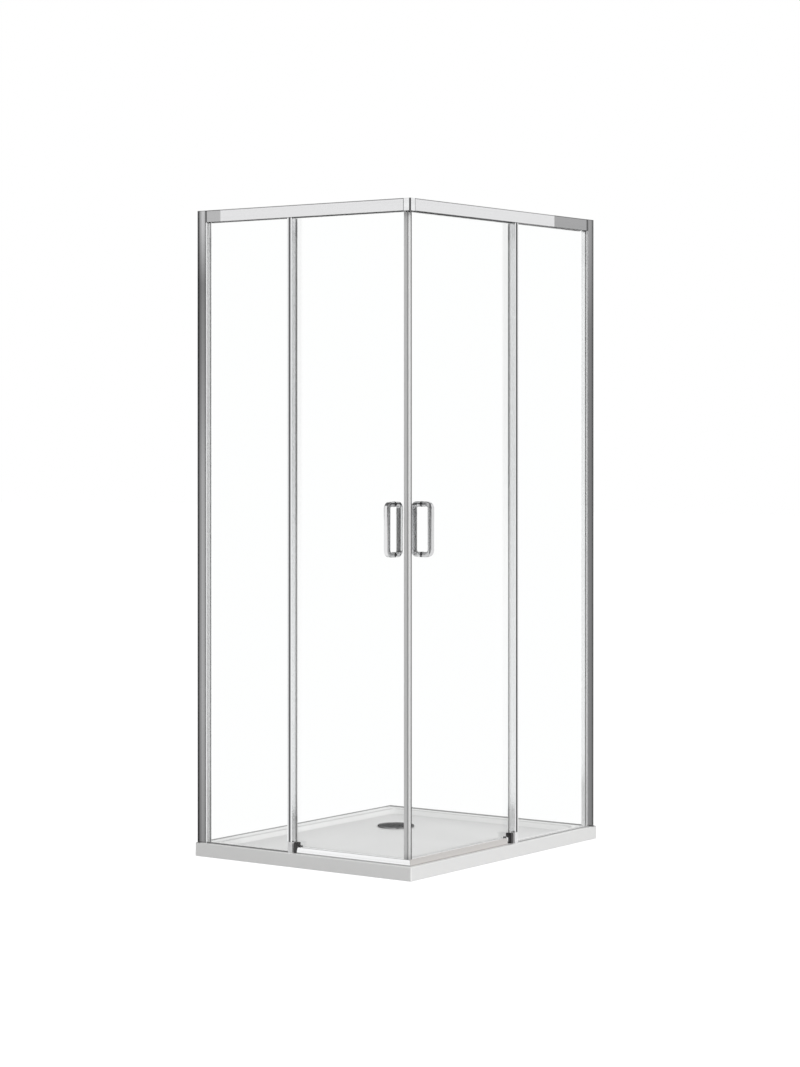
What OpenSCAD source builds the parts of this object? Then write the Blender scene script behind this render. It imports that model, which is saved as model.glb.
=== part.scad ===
// Corner-entry shower cabin: slim tray, two fixed glass panels and two sliding glass doors.
// The origin is the middle of the tray's underside and +Z is up. The room corner is at -X and +Y, the
// entry corner at +X and -Y. The left run stands on the tray's -Y edge, the right run on its +X edge.
// Each run is drawn in its own frame: x from the wall to the entry corner, y from the enclosure's outer
// face inward, z up. The right run is the left one mirrored, with its own lengths.

/* [Tray] */
// Length of the tray along the left run
tray_x = 800; // [750:10:1000]
// Length of the tray along the right run
tray_y = 1000; // [900:10:1200]
// Height of the tray
tray_h = 40; // [36:1:60]
// Width of the tray's flat rim
rim_w = 50; // [50:1:60]
// Depth of the basin below the rim, at its edge
basin_depth = 18; // [14:1:18]
// Fall of the basin's floor from its edge to the waste
basin_fall = 5; // [3:1:5]

/* [Waste] */
// Distance of the waste's centre from the left wall
waste_from_left = 203; // [180:1:400]
// Distance of the waste's centre from the back wall
waste_from_back = 251; // [180:1:500]
// Diameter of the waste cover
cover_d = 113; // [112:1:120]
// Diameter of the outlet that a trap plugs into
outlet_d = 76; // [70:1:76]

/* [Enclosure] */
// Height of the enclosure above the tray's rim
frame_h = 1900; // [1800:10:2000]
// Distance of the enclosure's outer face from the tray's edge
inset = 12; // [10:1:14]
// Distance from the left wall to the middle of the left fixed panel's edge profile
left_fixed_w = 350; // [320:5:360]
// Distance from the right wall to the middle of the right fixed panel's edge profile
right_fixed_w = 434; // [350:2:460]
// Thickness of all glass
glass_t = 6; // [6:1:6]

/* [Rails and profiles] */
// Height of the top rail
rail_h = 36; // [36:1:40]
// Depth of the top rail, inward
rail_d = 42; // [42:1:46]
// Length of the wall profile's legs
wall_leg = 30; // [28:1:32]
// Depth of the wall profile, inward
wall_d = 28; // [28:1:28]
// Width of the upright profiles on the glass edges
post_w = 18; // [18:1:20]
// Height of the threshold above the tray's rim
threshold_h = 18; // [14:1:20]
// Height of the door guides above the tray's rim
guide_h = 31; // [28:1:34]

/* [Doors] */
// Gap under the door glass
door_gap = 12; // [12:1:16]
// Outer diameter of the rollers
roller_d = 26; // [24:1:26]
// Distance of the front roller from the glass's front edge
front_roller_in = 60; // [50:1:80]
// Distance of the rear roller from the glass's rear edge
rear_roller_in = 55; // [50:1:80]

/* [Handles] */
// Height of the handles' middle above the floor
handle_z = 995; // [800:5:1200]
// Distance between the two fixing holes
handle_pitch = 145; // [128:1:192]
// Thickness of the bar, across its flats
handle_bar = 15; // [12:1:16]
// Radius of the bow's bends, at the middle of the bar
handle_bend = 13; // [10:1:22]
// Distance of the left handle from the front edge of its glass
left_handle_in = 46; // [40:1:80]
// Distance of the right handle from the front edge of its glass
right_handle_in = 63; // [40:1:80]

/* [Hidden] */
$fn = 48;
LEFT = 0;
RIGHT = 1;
SIDES = [LEFT, RIGHT];
EPS = 1;                                    // how far a cut runs past the face that it opens

// Heights
rim_z = tray_h;
top_z = rim_z + frame_h;
rail_z = top_z - rail_h;                    // underside of the rail
seal_h = 3;                                 // strip under the fixed glass
fixed_glass_z = [rim_z + seal_h, rail_z + 20];
door_glass_z = [rim_z + door_gap, rail_z + 30];
door_frame_z = [rim_z + door_gap + 10, rail_z - 2];

// Lengths of the runs, and places along them
run_len = [tray_x - inset, tray_y - inset];
post_x = [left_fixed_w, right_fixed_w];
function door_rear_x(side) = post_x[side] - 5;
function door_front_x(side) = run_len[side] - 32;
handle_x = [door_front_x(LEFT) - left_handle_in, door_front_x(RIGHT) - right_handle_in];
function front_roller_x(side) = door_front_x(side) - front_roller_in;
function rear_roller_x(side) = door_rear_x(side) + rear_roller_in;
adjusting_end = wall_leg + 5;
function door_travel(side) = post_x[side] - post_w / 2 - adjusting_end - 6;

// Places across the runs, inward from the outer face
fixed_u = [5, 5 + glass_t];                 // faces of the fixed glass
door_u = [24, 24 + glass_t];                // faces of the door glass
door_mid_u = (door_u[0] + door_u[1]) / 2;
grip_u = handle_bar / 2 - inset;            // the grip's outer face is in line with the tray's edge
roller_u = [32, 37];                        // faces of a roller

// Rail section
rail_wall = 2;
pocket_u = [2, 14];                         // chamber that holds the fixed glass
track_u = [16, rail_d - rail_wall];         // chamber in which the rollers run
slot_u = [16, 33];                          // opening under that chamber
lip_t = 2.5;                                // thickness of the lip that carries the track
bead_w = 1.6;                               // bead on the lip, in the rollers' groove
bead_h = 1.5;
groove_r = roller_d / 2 - 1.4;
roller_z = rail_z + lip_t + bead_h + groove_r + 0.3;

// Corner block and covers
corner_w = 25;
cover_t = 1.5;
cover_in = 4;                               // how far the covers stay back from the very corner
cover_joint = 1.2;                          // open joint between a cover and its rail
mitre_gap = 0.3;                            // half of the gap between the two closing seals

// Fasteners
wall_hole_r = 3;
wall_hole_count = 4;
wall_hole_pitch = 530;
wall_hole_z = rim_z + (frame_h - (wall_hole_count - 1) * wall_hole_pitch) / 2;
side_screw_x = 14;
side_screw_z = [rim_z + 150, rim_z + frame_h / 2, top_z - 190];
pin_r = 3;
roller_play = 0.05;                         // radial clearance of a roller on its pin

// Waste
waste_xy = [waste_from_left - tray_x / 2, tray_y / 2 - waste_from_back];
floor_z = tray_h - basin_depth;
low_z = floor_z - basin_fall;
basin_slope_w = 10;
hole_r = 45;
flange_t = 3;
seal_t = 1;
outlet_r = outlet_d / 2;
spigot_z = low_z - 13;
lug_r = [48, 49.7];                         // faces of the lugs that centre the cover
seat_r = 50;                                // recess that the lugs stand in
seat_z = low_z - 1.8;
dome_h = 5;
cover_z = low_z + 3;

// Colours, as seen
WHITE_CAST = [0.93, 0.93, 0.93];
POLISHED = [0.84, 0.85, 0.86];
DARK_POLISHED = [0.5, 0.5, 0.51];
GLASS = [0.86, 0.95, 0.95, 0.3];
CLEAR_SEAL = [0.78, 0.8, 0.81, 0.7];
DARK_RUBBER = [0.2, 0.2, 0.21];
GREY_PLASTIC = [0.8, 0.8, 0.8];
STEEL = [0.7, 0.71, 0.72];
CHROME = [0.78, 0.79, 0.8];

// Shapes that the pieces share

// Puts a piece that is drawn in a run's frame into the cabin
module on_run(side) {
    if (side == LEFT)
        translate([-tray_x / 2, inset - tray_y / 2, 0]) children();
    else
        translate([tray_x / 2 - inset, tray_y / 2, 0]) mirror([1, 1, 0]) children();
}

// Swaps the two runs' parts of a corner piece, in the left run's frame
module across_corner(length) {
    translate([length, length, 0]) mirror([1, 1, 0]) children();
}

// Rectangle between two opposite corners
module rect(a, b) {
    translate(a) square(b - a);
}

// Box between two opposite corners
module block(a, b) {
    translate(a) cube(b - a);
}

// A section in (y, z), run along x
module along_x(x0, x1) {
    translate([x0, 0, 0]) rotate([90, 0, 90]) linear_extrude(x1 - x0) children();
}

// A section in (x, y), stood up between two heights
module upright(z0, z1) {
    translate([0, 0, z0]) linear_extrude(z1 - z0) children();
}

// Round bar along y
module rod(r, u0, u1) {
    translate([0, u0, 0]) rotate([-90, 0, 0]) cylinder(r = r, h = u1 - u0);
}

// Tube along y
module sleeve(r_in, r_out, u0, u1) {
    difference() {
        rod(r_out, u0, u1);
        rod(r_in, u0 - EPS, u1 + EPS);
    }
}

// Points of a rectangle with round corners, steps chords to a corner
function round_rect(x, y, r, steps) = [
    for (corner = [0:3], i = [0:steps])
        let (
            turn = corner * 90 + i * 90 / steps,
            sx = corner == 0 || corner == 3 ? 1 : -1,
            sy = corner < 2 ? 1 : -1
        )
        [sx * (x / 2 - r) + r * cos(turn), sy * (y / 2 - r) + r * sin(turn)]
];

// What lies outside the mitre plane of a run that meets the other at the corner
module beyond_mitre(length, z0, z1) {
    upright(z0, z1)
        polygon([[length + EPS, -EPS], [length + EPS, 60], [length - 60, 60]]);
}

// Tray and waste

module shower_tray() {
    outline = round_rect(tray_x, tray_y, 5, 6);
    chamfer = 1.5;
    floor_x = tray_x - 2 * (rim_w + basin_slope_w);
    floor_y = tray_y - 2 * (rim_w + basin_slope_w);
    floor_outline = round_rect(floor_x, floor_y, 30, 8);
    color(WHITE_CAST)
        difference() {
            union() {
                upright(0, tray_h - chamfer) polygon(outline);
                translate([0, 0, tray_h - chamfer])
                    linear_extrude(
                        chamfer, slices = 1,
                        scale = [1 - 2 * chamfer / tray_x, 1 - 2 * chamfer / tray_y]
                    )
                        polygon(outline);
            }
            translate([0, 0, floor_z])
                linear_extrude(
                    basin_depth + 0.01, slices = 1,
                    scale = [(tray_x - 2 * rim_w) / floor_x, (tray_y - 2 * rim_w) / floor_y]
                )
                    polygon(floor_outline);
            hull() {
                upright(floor_z, floor_z + 0.01) polygon(floor_outline);
                translate([each waste_xy, low_z]) cylinder(r = cover_d / 2 + 8, h = 0.01);
            }
            translate([each waste_xy, 0]) {
                translate([0, 0, -EPS]) cylinder(r = hole_r, h = tray_h);
                translate([0, 0, low_z - flange_t - seal_t]) cylinder(r = cover_d / 2 + 0.5, h = tray_h);
                translate([0, 0, -EPS]) cylinder(r = 70, h = spigot_z + EPS);
            }
            guide_screw_holes();
        }
}

module waste_flange() {
    ring_r = cover_d / 2;
    color(CHROME)
        translate(waste_xy)
            rotate_extrude()
                polygon([
                    [outlet_r, spigot_z], [outlet_r + 5, spigot_z], [outlet_r + 5, low_z - flange_t],
                    [ring_r, low_z - flange_t], [ring_r, low_z - 0.8], [ring_r - 0.8, low_z],
                    [seat_r, low_z], [seat_r, seat_z], [outlet_r, seat_z]
                ]);
}

module waste_seal() {
    z0 = low_z - flange_t - seal_t;
    color(DARK_RUBBER)
        translate(waste_xy)
            rotate_extrude()
                rect([hole_r + 0.5, z0], [cover_d / 2, z0 + seal_t]);
}

module waste_cover() {
    r = cover_d / 2;
    wall = 1.6;
    steps = 10;
    function rise(t) = dome_h * (1 - t * t);
    outer = [for (i = [0:steps]) [r * i / steps, cover_z + wall + rise(i / steps)]];
    inner = [for (i = [steps:-1:0]) [(r - wall) * i / steps, cover_z + rise(i / steps)]];
    color(CHROME)
        translate(waste_xy) {
            rotate_extrude()
                polygon(concat(outer, [[r, cover_z - 0.6], [r - wall, cover_z - 0.6]], inner));
            for (turn = [45:90:315])
                rotate(turn)
                    intersection() {
                        rotate_extrude() rect([lug_r[0], seat_z + 0.1], [lug_r[1], cover_z + 1.9]);
                        translate([0, -5, 0]) cube([2 * r, 10, tray_h]);
                    }
        }
}

// Fixed frame of one run

module wall_profile(side) {
    wall = 1.8;
    color(DARK_POLISHED)
        on_run(side)
            difference() {
                upright(rim_z, top_z)
                    difference() {
                        rect([0, 0], [wall_leg, wall_d]);
                        rect([2, wall], [wall_leg + EPS, wall_d - wall]);
                    }
                for (i = [0:wall_hole_count - 1])
                    translate([-EPS, wall_d / 2, wall_hole_z + i * wall_hole_pitch])
                        rotate([0, 90, 0]) cylinder(r = wall_hole_r, h = 4);
                at_side_screws() rod(2.2, wall_d - 2 * wall, wall_d + EPS);
            }
}

module at_side_screws() {
    for (z = side_screw_z)
        translate([side_screw_x, 0, z]) children();
}

module adjusting_profile(side) {
    color(POLISHED)
        on_run(side)
            difference() {
                upright(rim_z, rail_z) {
                    rect([6, 2], [adjusting_end, 3.8]);
                    rect([6, 24.2], [adjusting_end, 26]);
                    rect([19, 2], [20.6, 26]);
                    rect([19, 12.2], [adjusting_end, 13.8]);
                    rect([adjusting_end - 1.6, 12.2], [adjusting_end, 26]);
                }
                at_side_screws() rod(2, 22, 28);
            }
}

module side_screws(side) {
    color(STEEL)
        on_run(side)
            at_side_screws() {
                rod(2, 21, wall_d);
                difference() {
                    rod(4, wall_d, wall_d + 2.2);
                    for (turn = [0, 90])
                        translate([0, wall_d + 1.2, 0]) rotate([0, turn, 0])
                            translate([-2.4, 0, -0.5]) cube([4.8, 2, 1]);
                }
            }
}

module side_screw_caps(side) {
    color(POLISHED)
        on_run(side)
            at_side_screws()
                translate([0, wall_d, 0]) rotate([-90, 0, 0])
                    rotate_extrude()
                        polygon([[4.4, 0], [6.5, 0], [6.5, 2.4], [5.3, 3.6], [0, 3.9], [0, 2.8], [4.4, 2.6]]);
}

module rail_section() {
    difference() {
        rect([0, 0], [rail_d, rail_h]);
        rect([pocket_u[0], -EPS], [pocket_u[1], rail_h - rail_wall]);
        rect([track_u[0], lip_t], [track_u[1], rail_h - rail_wall]);
        rect([slot_u[0], -EPS], [slot_u[1], lip_t + EPS]);
    }
    bead_u = (roller_u[0] + roller_u[1] - bead_w) / 2;
    rect([bead_u, lip_t], [bead_u + bead_w, lip_t + bead_h]);
}

module at_corner_screws(side) {
    for (x = [run_len[side] - 62, run_len[side] - 40])
        translate([x, (pocket_u[0] + pocket_u[1]) / 2, 0]) children();
}

module top_rail(side) {
    length = run_len[side];
    color(POLISHED)
        on_run(side)
            difference() {
                translate([0, 0, rail_z]) along_x(wall_leg, length) rail_section();
                beyond_mitre(length, rail_z - EPS, top_z + EPS);
                block([length - corner_w, -EPS, rail_z - EPS], [length + EPS, corner_w, top_z + EPS]);
                at_corner_screws(side)
                    translate([0, 0, top_z - rail_wall - EPS]) {
                        cylinder(r = 2.2, h = 4);
                        translate([0, 0, EPS]) cylinder(r1 = 2.2, r2 = 4.2, h = rail_wall + 0.01);
                    }
            }
}

module rail_end_block(side) {
    color(GREY_PLASTIC)
        on_run(side) {
            block([2, 14, rail_z + 1], [wall_leg, 26.2, top_z - 2]);
            block([wall_leg - EPS, 16, rail_z + 4], [wall_leg + 30, 22, top_z - 3]);
        }
}

// Rubber blocks that stop the rear roller at the open end and the front roller at the closed end
module door_stops(side) {
    length = 10;
    play = 0.5;
    open_x = rear_roller_x(side) - door_travel(side) - roller_d / 2 - play;
    closed_x = front_roller_x(side) + roller_d / 2 + play;
    color(DARK_RUBBER)
        on_run(side)
            for (x = [open_x - length, closed_x])
                block([x, 31.5, rail_z + lip_t + 3], [x + length, track_u[1], top_z - rail_wall]);
}

module fixed_glass(side) {
    color(GLASS)
        on_run(side)
            block(
                [adjusting_end - 13.4, fixed_u[0], fixed_glass_z[0]],
                [post_x[side] + 5, fixed_u[1], fixed_glass_z[1]]
            );
}

// One soft channel in the adjusting profile and one in the rail
module glazing_gasket(side) {
    top = fixed_glass_z[1] - rail_z;
    color(CLEAR_SEAL)
        on_run(side) {
            upright(fixed_glass_z[0], rail_z) {
                rect([20.6, 3.8], [adjusting_end + 1, fixed_u[0]]);
                rect([20.6, fixed_u[1]], [adjusting_end + 1, 12.2]);
                rect([20.6, 3.8], [21.6, 12.2]);
            }
            translate([0, 0, rail_z]) along_x(wall_leg, post_x[side] + 5) {
                rect([pocket_u[0], 1], [fixed_u[0], top + 2]);
                rect([fixed_u[1], 1], [pocket_u[1], top + 2]);
                rect([pocket_u[0], top], [pocket_u[1], top + 2]);
            }
        }
}

module edge_profile(side) {
    half = post_w / 2;
    color(POLISHED)
        on_run(side)
            translate([post_x[side], 0, 0])
                upright(rim_z + guide_h, rail_z) {
                    difference() {
                        rect([-half, 2.8], [half, fixed_u[0]]);
                        rect([-3.5, 2.8 - EPS], [3.5, 3.6]);
                    }
                    rect([-half, fixed_u[1]], [half, fixed_u[1] + 2.2]);
                    rect([5, 2.8], [half, fixed_u[1] + 2.2]);
                    rect([half - 1.6, fixed_u[1]], [half, 20]);
                }
}

module edge_gasket(side) {
    color(DARK_RUBBER)
        on_run(side)
            translate([post_x[side], 0, 0])
                upright(rim_z + guide_h, rail_z) rect([-3.5, 2.4], [3.5, 3.6]);
}

module profile_foot(side) {
    half = post_w / 2;
    color(GREY_PLASTIC)
        on_run(side)
            translate([post_x[side], 0, 0])
                difference() {
                    block([-half + 2, 3, rim_z], [half, fixed_u[1] + 2, rim_z + guide_h]);
                    block([-half, fixed_u[0], fixed_glass_z[0]], [5, fixed_u[1], rim_z + guide_h + EPS]);
                }
}

module fixed_bottom_seal(side) {
    color(DARK_RUBBER)
        on_run(side)
            block([adjusting_end, 3, rim_z], [post_x[side] - post_w / 2 + 2, 13, rim_z + seal_h]);
}

module threshold(side) {
    u0 = 3;
    u1 = 15;
    h = threshold_h;
    color(POLISHED)
        on_run(side)
            difference() {
                translate([0, 0, rim_z]) along_x(post_x[side] + guide_x[side][1] + guide_gap[side], run_len[side])
                    difference() {
                        polygon([[u0, 0], [u0, 3], [u0 + 2, h - 3], [u0 + 4, h], [u1, h], [u1, 0]]);
                        polygon([
                            [u0 + 1.6, -EPS], [u0 + 1.6, 3], [u0 + 3.5, h - 3.4],
                            [u0 + 4.6, h - 1.6], [u1 - 1.6, h - 1.6], [u1 - 1.6, -EPS]
                        ]);
                    }
                beyond_mitre(run_len[side], rim_z - EPS, rim_z + h + EPS);
            }
}

guide_x = [[16, 26], [20, 30]];             // faces of each guide, from the middle of the edge profile
guide_gap = [0.2, 18];                      // room between each guide and its threshold
guide_screw_u = 27;

module at_guide_screw(side) {
    translate([post_x[side] + (guide_x[side][0] + guide_x[side][1]) / 2, guide_screw_u, 0]) children();
}

module guide_screw_holes() {
    for (side = SIDES)
        on_run(side) at_guide_screw(side) translate([0, 0, rim_z - 14]) cylinder(r = 1.8, h = 20);
}

// Hooked outer cheek, low inner cheek and a base; the door's lower profile runs between the cheeks
module door_guide(side) {
    color(DARK_RUBBER)
        on_run(side)
            difference() {
                translate([post_x[side], 0, rim_z])
                    along_x(guide_x[side][0], guide_x[side][1])
                        polygon([
                            [2.6, 0], [36, 0], [36, 18], [35, 19], [32.7, 19], [31.7, 18], [31.7, 3.5],
                            [14, 3.5], [14, 17], [22.3, 20], [22.3, guide_h - 1], [21.3, guide_h],
                            [3.6, guide_h], [2.6, guide_h - 1]
                        ]);
                at_guide_screw(side)
                    translate([0, 0, rim_z - EPS]) {
                        cylinder(r = 1.8, h = 6);
                        translate([0, 0, 2.5]) cylinder(r1 = 1.8, r2 = 3.2, h = 2.01);
                    }
            }
}

// Corner

module corner_connector() {
    length = run_len[LEFT];
    far = length - corner_w;
    color(DARK_RUBBER)
        on_run(LEFT)
            difference() {
                union() {
                    upright(rail_z, top_z)
                        polygon([
                            [far, cover_t], [length - cover_in, cover_t], [length - cover_in, 0.8],
                            [length - 0.8, cover_in], [length - cover_t, cover_in],
                            [length - cover_t, corner_w], [far, corner_w]
                        ]);
                    corner_tongue(length);
                    across_corner(length) corner_tongue(length);
                }
                corner_screw_bores(length);
                across_corner(length) corner_screw_bores(length);
            }
}

module corner_tongue(length) {
    block(
        [length - corner_w - 50, pocket_u[0], rail_z + 10],
        [length - corner_w + EPS, pocket_u[1], top_z - rail_wall]
    );
}

module corner_screw_bores(length) {
    for (x = [length - 62, length - 40])
        translate([x, (pocket_u[0] + pocket_u[1]) / 2, top_z - 16]) cylinder(r = 1.8, h = 20);
}

module corner_cover(side) {
    length = run_len[side];
    color(CHROME)
        on_run(side)
            block(
                [length - corner_w + cover_joint, 0, rail_z],
                [length - cover_in, cover_t, top_z]
            );
}

// Countersunk screws of the corner block and of the guides
module frame_screws() {
    color(STEEL)
        for (side = SIDES)
            on_run(side) {
                at_corner_screws(side) {
                    translate([0, 0, top_z - 15]) cylinder(r = 1.8, h = 15 - rail_wall);
                    difference() {
                        translate([0, 0, top_z - rail_wall]) cylinder(r1 = 1.8, r2 = 3.8, h = rail_wall);
                        translate([0, 0, top_z - 1]) cylinder(r = 1.4, h = 2, $fn = 6);
                    }
                }
                at_guide_screw(side) {
                    translate([0, 0, rim_z - 12]) cylinder(r = 1.8, h = 13.5);
                    difference() {
                        translate([0, 0, rim_z + 1.5]) cylinder(r1 = 1.8, r2 = 3.1, h = 2);
                        translate([0, 0, rim_z + 2.5]) cylinder(r = 1.3, h = 2, $fn = 6);
                    }
                }
            }
}

// Door of one run

module door_glass(side) {
    color(GLASS)
        on_run(side)
            difference() {
                block(
                    [door_rear_x(side), door_u[0], door_glass_z[0]],
                    [door_front_x(side), door_u[1], door_glass_z[1]]
                );
                at_handle_holes(side) rod(6, door_u[0] - EPS, door_u[1] + EPS);
                at_rollers(side) rod(5, door_u[0] - EPS, door_u[1] + EPS);
            }
}

module at_handle_holes(side) {
    for (i = [-1, 1])
        translate([handle_x[side], 0, handle_z + i * handle_pitch / 2]) children();
}

module at_rollers(side) {
    for (x = [front_roller_x(side), rear_roller_x(side)])
        translate([x, 0, roller_z]) children();
}

module door_rear_profile(side) {
    half = post_w / 2;
    color(POLISHED)
        on_run(side)
            translate([post_x[side], 0, 0])
                upright(door_frame_z[0], door_frame_z[1]) {
                    rect([-half, door_u[0] - 2], [half, door_u[0]]);
                    rect([-half, door_u[1]], [half, door_u[1] + 2.5]);
                    rect([-half, door_u[0] - 2], [-5, door_u[1] + 2.5]);
                    rect([-half, 15], [-half + 1.6, door_u[0]]);
                }
}

clip_t = 1.2;                               // walls of the clip-on seals
clip_in = 7;                                // how far a clip-on seal grips the glass

module magnetic_seal(side) {
    length = run_len[side];
    front = door_front_x(side);
    u0 = door_u[0] - clip_t;
    u1 = door_u[1] + clip_t;
    color(CLEAR_SEAL)
        on_run(side)
            upright(door_glass_z[0], door_frame_z[1])
                difference() {
                    union() {
                        rect([front - clip_in, u0], [front, door_u[0]]);
                        rect([front - clip_in, door_u[1]], [front, u1]);
                        polygon([
                            [front, u0], [length - u0 - mitre_gap, u0],
                            [length - u1 - mitre_gap, u1], [front, u1]
                        ]);
                    }
                    magnet_section(side);
                }
}

// The magnet lies just behind the mitred face
module magnet_section(side) {
    translate([run_len[side] - door_mid_u - 1.3, door_mid_u - 1.3]) rotate(-45)
        rect([-2.5, -0.8], [2.5, 0.8]);
}

module magnet_strip(side) {
    color(DARK_RUBBER)
        on_run(side) upright(door_glass_z[0], door_frame_z[1]) magnet_section(side);
}

module door_bottom_seal(side) {
    u0 = door_u[0] - clip_t;
    u1 = door_u[1] + clip_t;
    h = door_glass_z[0] - rim_z;
    color(CLEAR_SEAL)
        on_run(side)
            translate([0, 0, rim_z])
                along_x(door_rear_x(side), door_front_x(side) - clip_in - 0.2)
                    polygon([
                        [u0, h + clip_in], [u0, h - 2], [door_mid_u - 1.5, h - 2],
                        [door_mid_u - 1.7, h - 7], [door_mid_u - 0.5, h - 7],
                        [door_mid_u + 1.2, h - 2], [u1, h - 2], [u1, h + clip_in],
                        [door_u[1], h + clip_in], [door_u[1], h], [door_u[0], h],
                        [door_u[0], h + clip_in]
                    ]);
}

// A bow from one fixing hole to the other, in (x, y) with its feet on y = 0, rising towards +y
module handle_bow(height) {
    leg = height - handle_bend;
    half = handle_pitch / 2;
    module bar_section() {
        polygon(round_rect(handle_bar, handle_bar, 3.2, 4));
    }
    module half_bow() {
        translate([half, 0, 0]) rotate([-90, 0, 0]) linear_extrude(leg) bar_section();
        translate([half - handle_bend, leg, 0])
            rotate_extrude(angle = 90) translate([handle_bend, 0]) bar_section();
    }
    difference() {
        union() {
            half_bow();
            mirror([1, 0, 0]) half_bow();
            translate([handle_bend - half, height, 0]) rotate([0, 90, 0])
                linear_extrude(handle_pitch - 2 * handle_bend) bar_section();
        }
        for (i = [-1, 1])
            translate([i * half, -EPS, 0]) rotate([-90, 0, 0]) cylinder(r = pin_r, h = 8 + EPS);
    }
}

washer_t = 1;

module outer_handle(side) {
    foot_u = door_u[0] - washer_t;
    color(CHROME)
        on_run(side)
            translate([handle_x[side], foot_u, handle_z]) rotate([0, 90, 180])
                handle_bow(foot_u - grip_u);
}

module inner_handle(side) {
    foot_u = door_u[1] + washer_t;
    color(CHROME)
        on_run(side)
            translate([handle_x[side], foot_u, handle_z]) rotate([0, 90, 0])
                handle_bow(2 * door_mid_u - grip_u - foot_u);
}

// A stud through each hole and a flanged bush from each side of the glass
module handle_fixings(side) {
    color(STEEL)
        on_run(side)
            at_handle_holes(side) {
                rod(pin_r, door_u[0] - washer_t - 8, door_u[1] + washer_t + 8);
                sleeve(pin_r, 6, door_u[0], door_mid_u);
                sleeve(pin_r, 6, door_mid_u, door_u[1]);
                sleeve(pin_r, 8, door_u[0] - washer_t, door_u[0]);
                sleeve(pin_r, 8, door_u[1], door_u[1] + washer_t);
            }
}

// Shouldered pin, hexagon nut and flanged bush of each roller
module roller_pins(side) {
    head_u = roller_u[1] + 0.1;
    color(STEEL)
        on_run(side)
            at_rollers(side) {
                rod(pin_r, door_u[0] - 5, head_u);
                rod(5.5, head_u, head_u + 1.9);
                difference() {
                    translate([0, door_u[0] - 4.4, 0]) rotate([-90, 0, 0])
                        cylinder(r = 6.4, h = 3.6, $fn = 6);
                    rod(pin_r, door_u[0] - 6, door_u[0]);
                }
                sleeve(pin_r, 8, door_u[0] - 0.8, door_u[0]);
                sleeve(pin_r, 5, door_u[0], door_u[1]);
                sleeve(pin_r, 6.5, door_u[1], roller_u[0] - 0.1);
            }
}

// Grooved tyre on a bearing ring
module roller(side, x) {
    width = roller_u[1] - roller_u[0];
    r = roller_d / 2;
    ring_r = 8;
    groove_w = bead_w + 0.8;
    edge = (width - groove_w) / 2;
    color(GREY_PLASTIC)
        on_run(side)
            translate([x, roller_u[0], roller_z]) rotate([-90, 0, 0]) {
                rotate_extrude()
                    polygon([
                        [ring_r, 0], [r - 0.5, 0], [r, 0.4], [r, edge - 0.2], [groove_r, edge],
                        [groove_r, edge + groove_w], [r, edge + groove_w + 0.2], [r, width - 0.4],
                        [r - 0.5, width], [ring_r, width]
                    ]);
                rotate_extrude()
                    polygon([
                        [pin_r + roller_play, 0.2], [4.4, 0.2], [4.4, 0.6], [6.8, 0.6], [6.8, 0.2],
                        [ring_r, 0.2], [ring_r, width - 0.2], [6.8, width - 0.2], [6.8, width - 0.6],
                        [4.4, width - 0.6], [4.4, width - 0.2], [pin_r + roller_play, width - 0.2]
                    ]);
            }
}

shower_tray();
waste_flange();
waste_seal();
waste_cover();
wall_profile(LEFT);  // left_wall_profile
wall_profile(RIGHT);  // right_wall_profile
adjusting_profile(LEFT);  // left_adjusting_profile
adjusting_profile(RIGHT);  // right_adjusting_profile
side_screws(LEFT);  // left_side_screws
side_screws(RIGHT);  // right_side_screws
side_screw_caps(LEFT);  // left_side_screw_caps
side_screw_caps(RIGHT);  // right_side_screw_caps
top_rail(LEFT);  // left_top_rail
top_rail(RIGHT);  // right_top_rail
rail_end_block(LEFT);  // left_rail_end_block
rail_end_block(RIGHT);  // right_rail_end_block
door_stops(LEFT);  // left_door_stops
door_stops(RIGHT);  // right_door_stops
fixed_glass(LEFT);  // left_fixed_glass
fixed_glass(RIGHT);  // right_fixed_glass
glazing_gasket(LEFT);  // left_glazing_gasket
glazing_gasket(RIGHT);  // right_glazing_gasket
edge_profile(LEFT);  // left_edge_profile
edge_profile(RIGHT);  // right_edge_profile
edge_gasket(LEFT);  // left_edge_gasket
edge_gasket(RIGHT);  // right_edge_gasket
profile_foot(LEFT);  // left_profile_foot
profile_foot(RIGHT);  // right_profile_foot
fixed_bottom_seal(LEFT);  // left_fixed_bottom_seal
fixed_bottom_seal(RIGHT);  // right_fixed_bottom_seal
threshold(LEFT);  // left_threshold
threshold(RIGHT);  // right_threshold
door_guide(LEFT);  // left_door_guide
door_guide(RIGHT);  // right_door_guide
corner_connector();
corner_cover(LEFT);  // left_corner_cover
corner_cover(RIGHT);  // right_corner_cover
frame_screws();
door_glass(LEFT);  // left_door_glass
door_glass(RIGHT);  // right_door_glass
door_rear_profile(LEFT);  // left_door_rear_profile
door_rear_profile(RIGHT);  // right_door_rear_profile
magnetic_seal(LEFT);  // left_magnetic_seal
magnetic_seal(RIGHT);  // right_magnetic_seal
magnet_strip(LEFT);  // left_magnet_strip
magnet_strip(RIGHT);  // right_magnet_strip
door_bottom_seal(LEFT);  // left_door_bottom_seal
door_bottom_seal(RIGHT);  // right_door_bottom_seal
outer_handle(LEFT);  // left_outer_handle
outer_handle(RIGHT);  // right_outer_handle
inner_handle(LEFT);  // left_inner_handle
inner_handle(RIGHT);  // right_inner_handle
handle_fixings(LEFT);  // left_handle_fixings
handle_fixings(RIGHT);  // right_handle_fixings
roller_pins(LEFT);  // left_roller_pins
roller_pins(RIGHT);  // right_roller_pins
roller(LEFT, front_roller_x(LEFT));  // left_front_roller
roller(LEFT, rear_roller_x(LEFT));  // left_rear_roller
roller(RIGHT, front_roller_x(RIGHT));  // right_front_roller
roller(RIGHT, rear_roller_x(RIGHT));  // right_rear_roller
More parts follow.
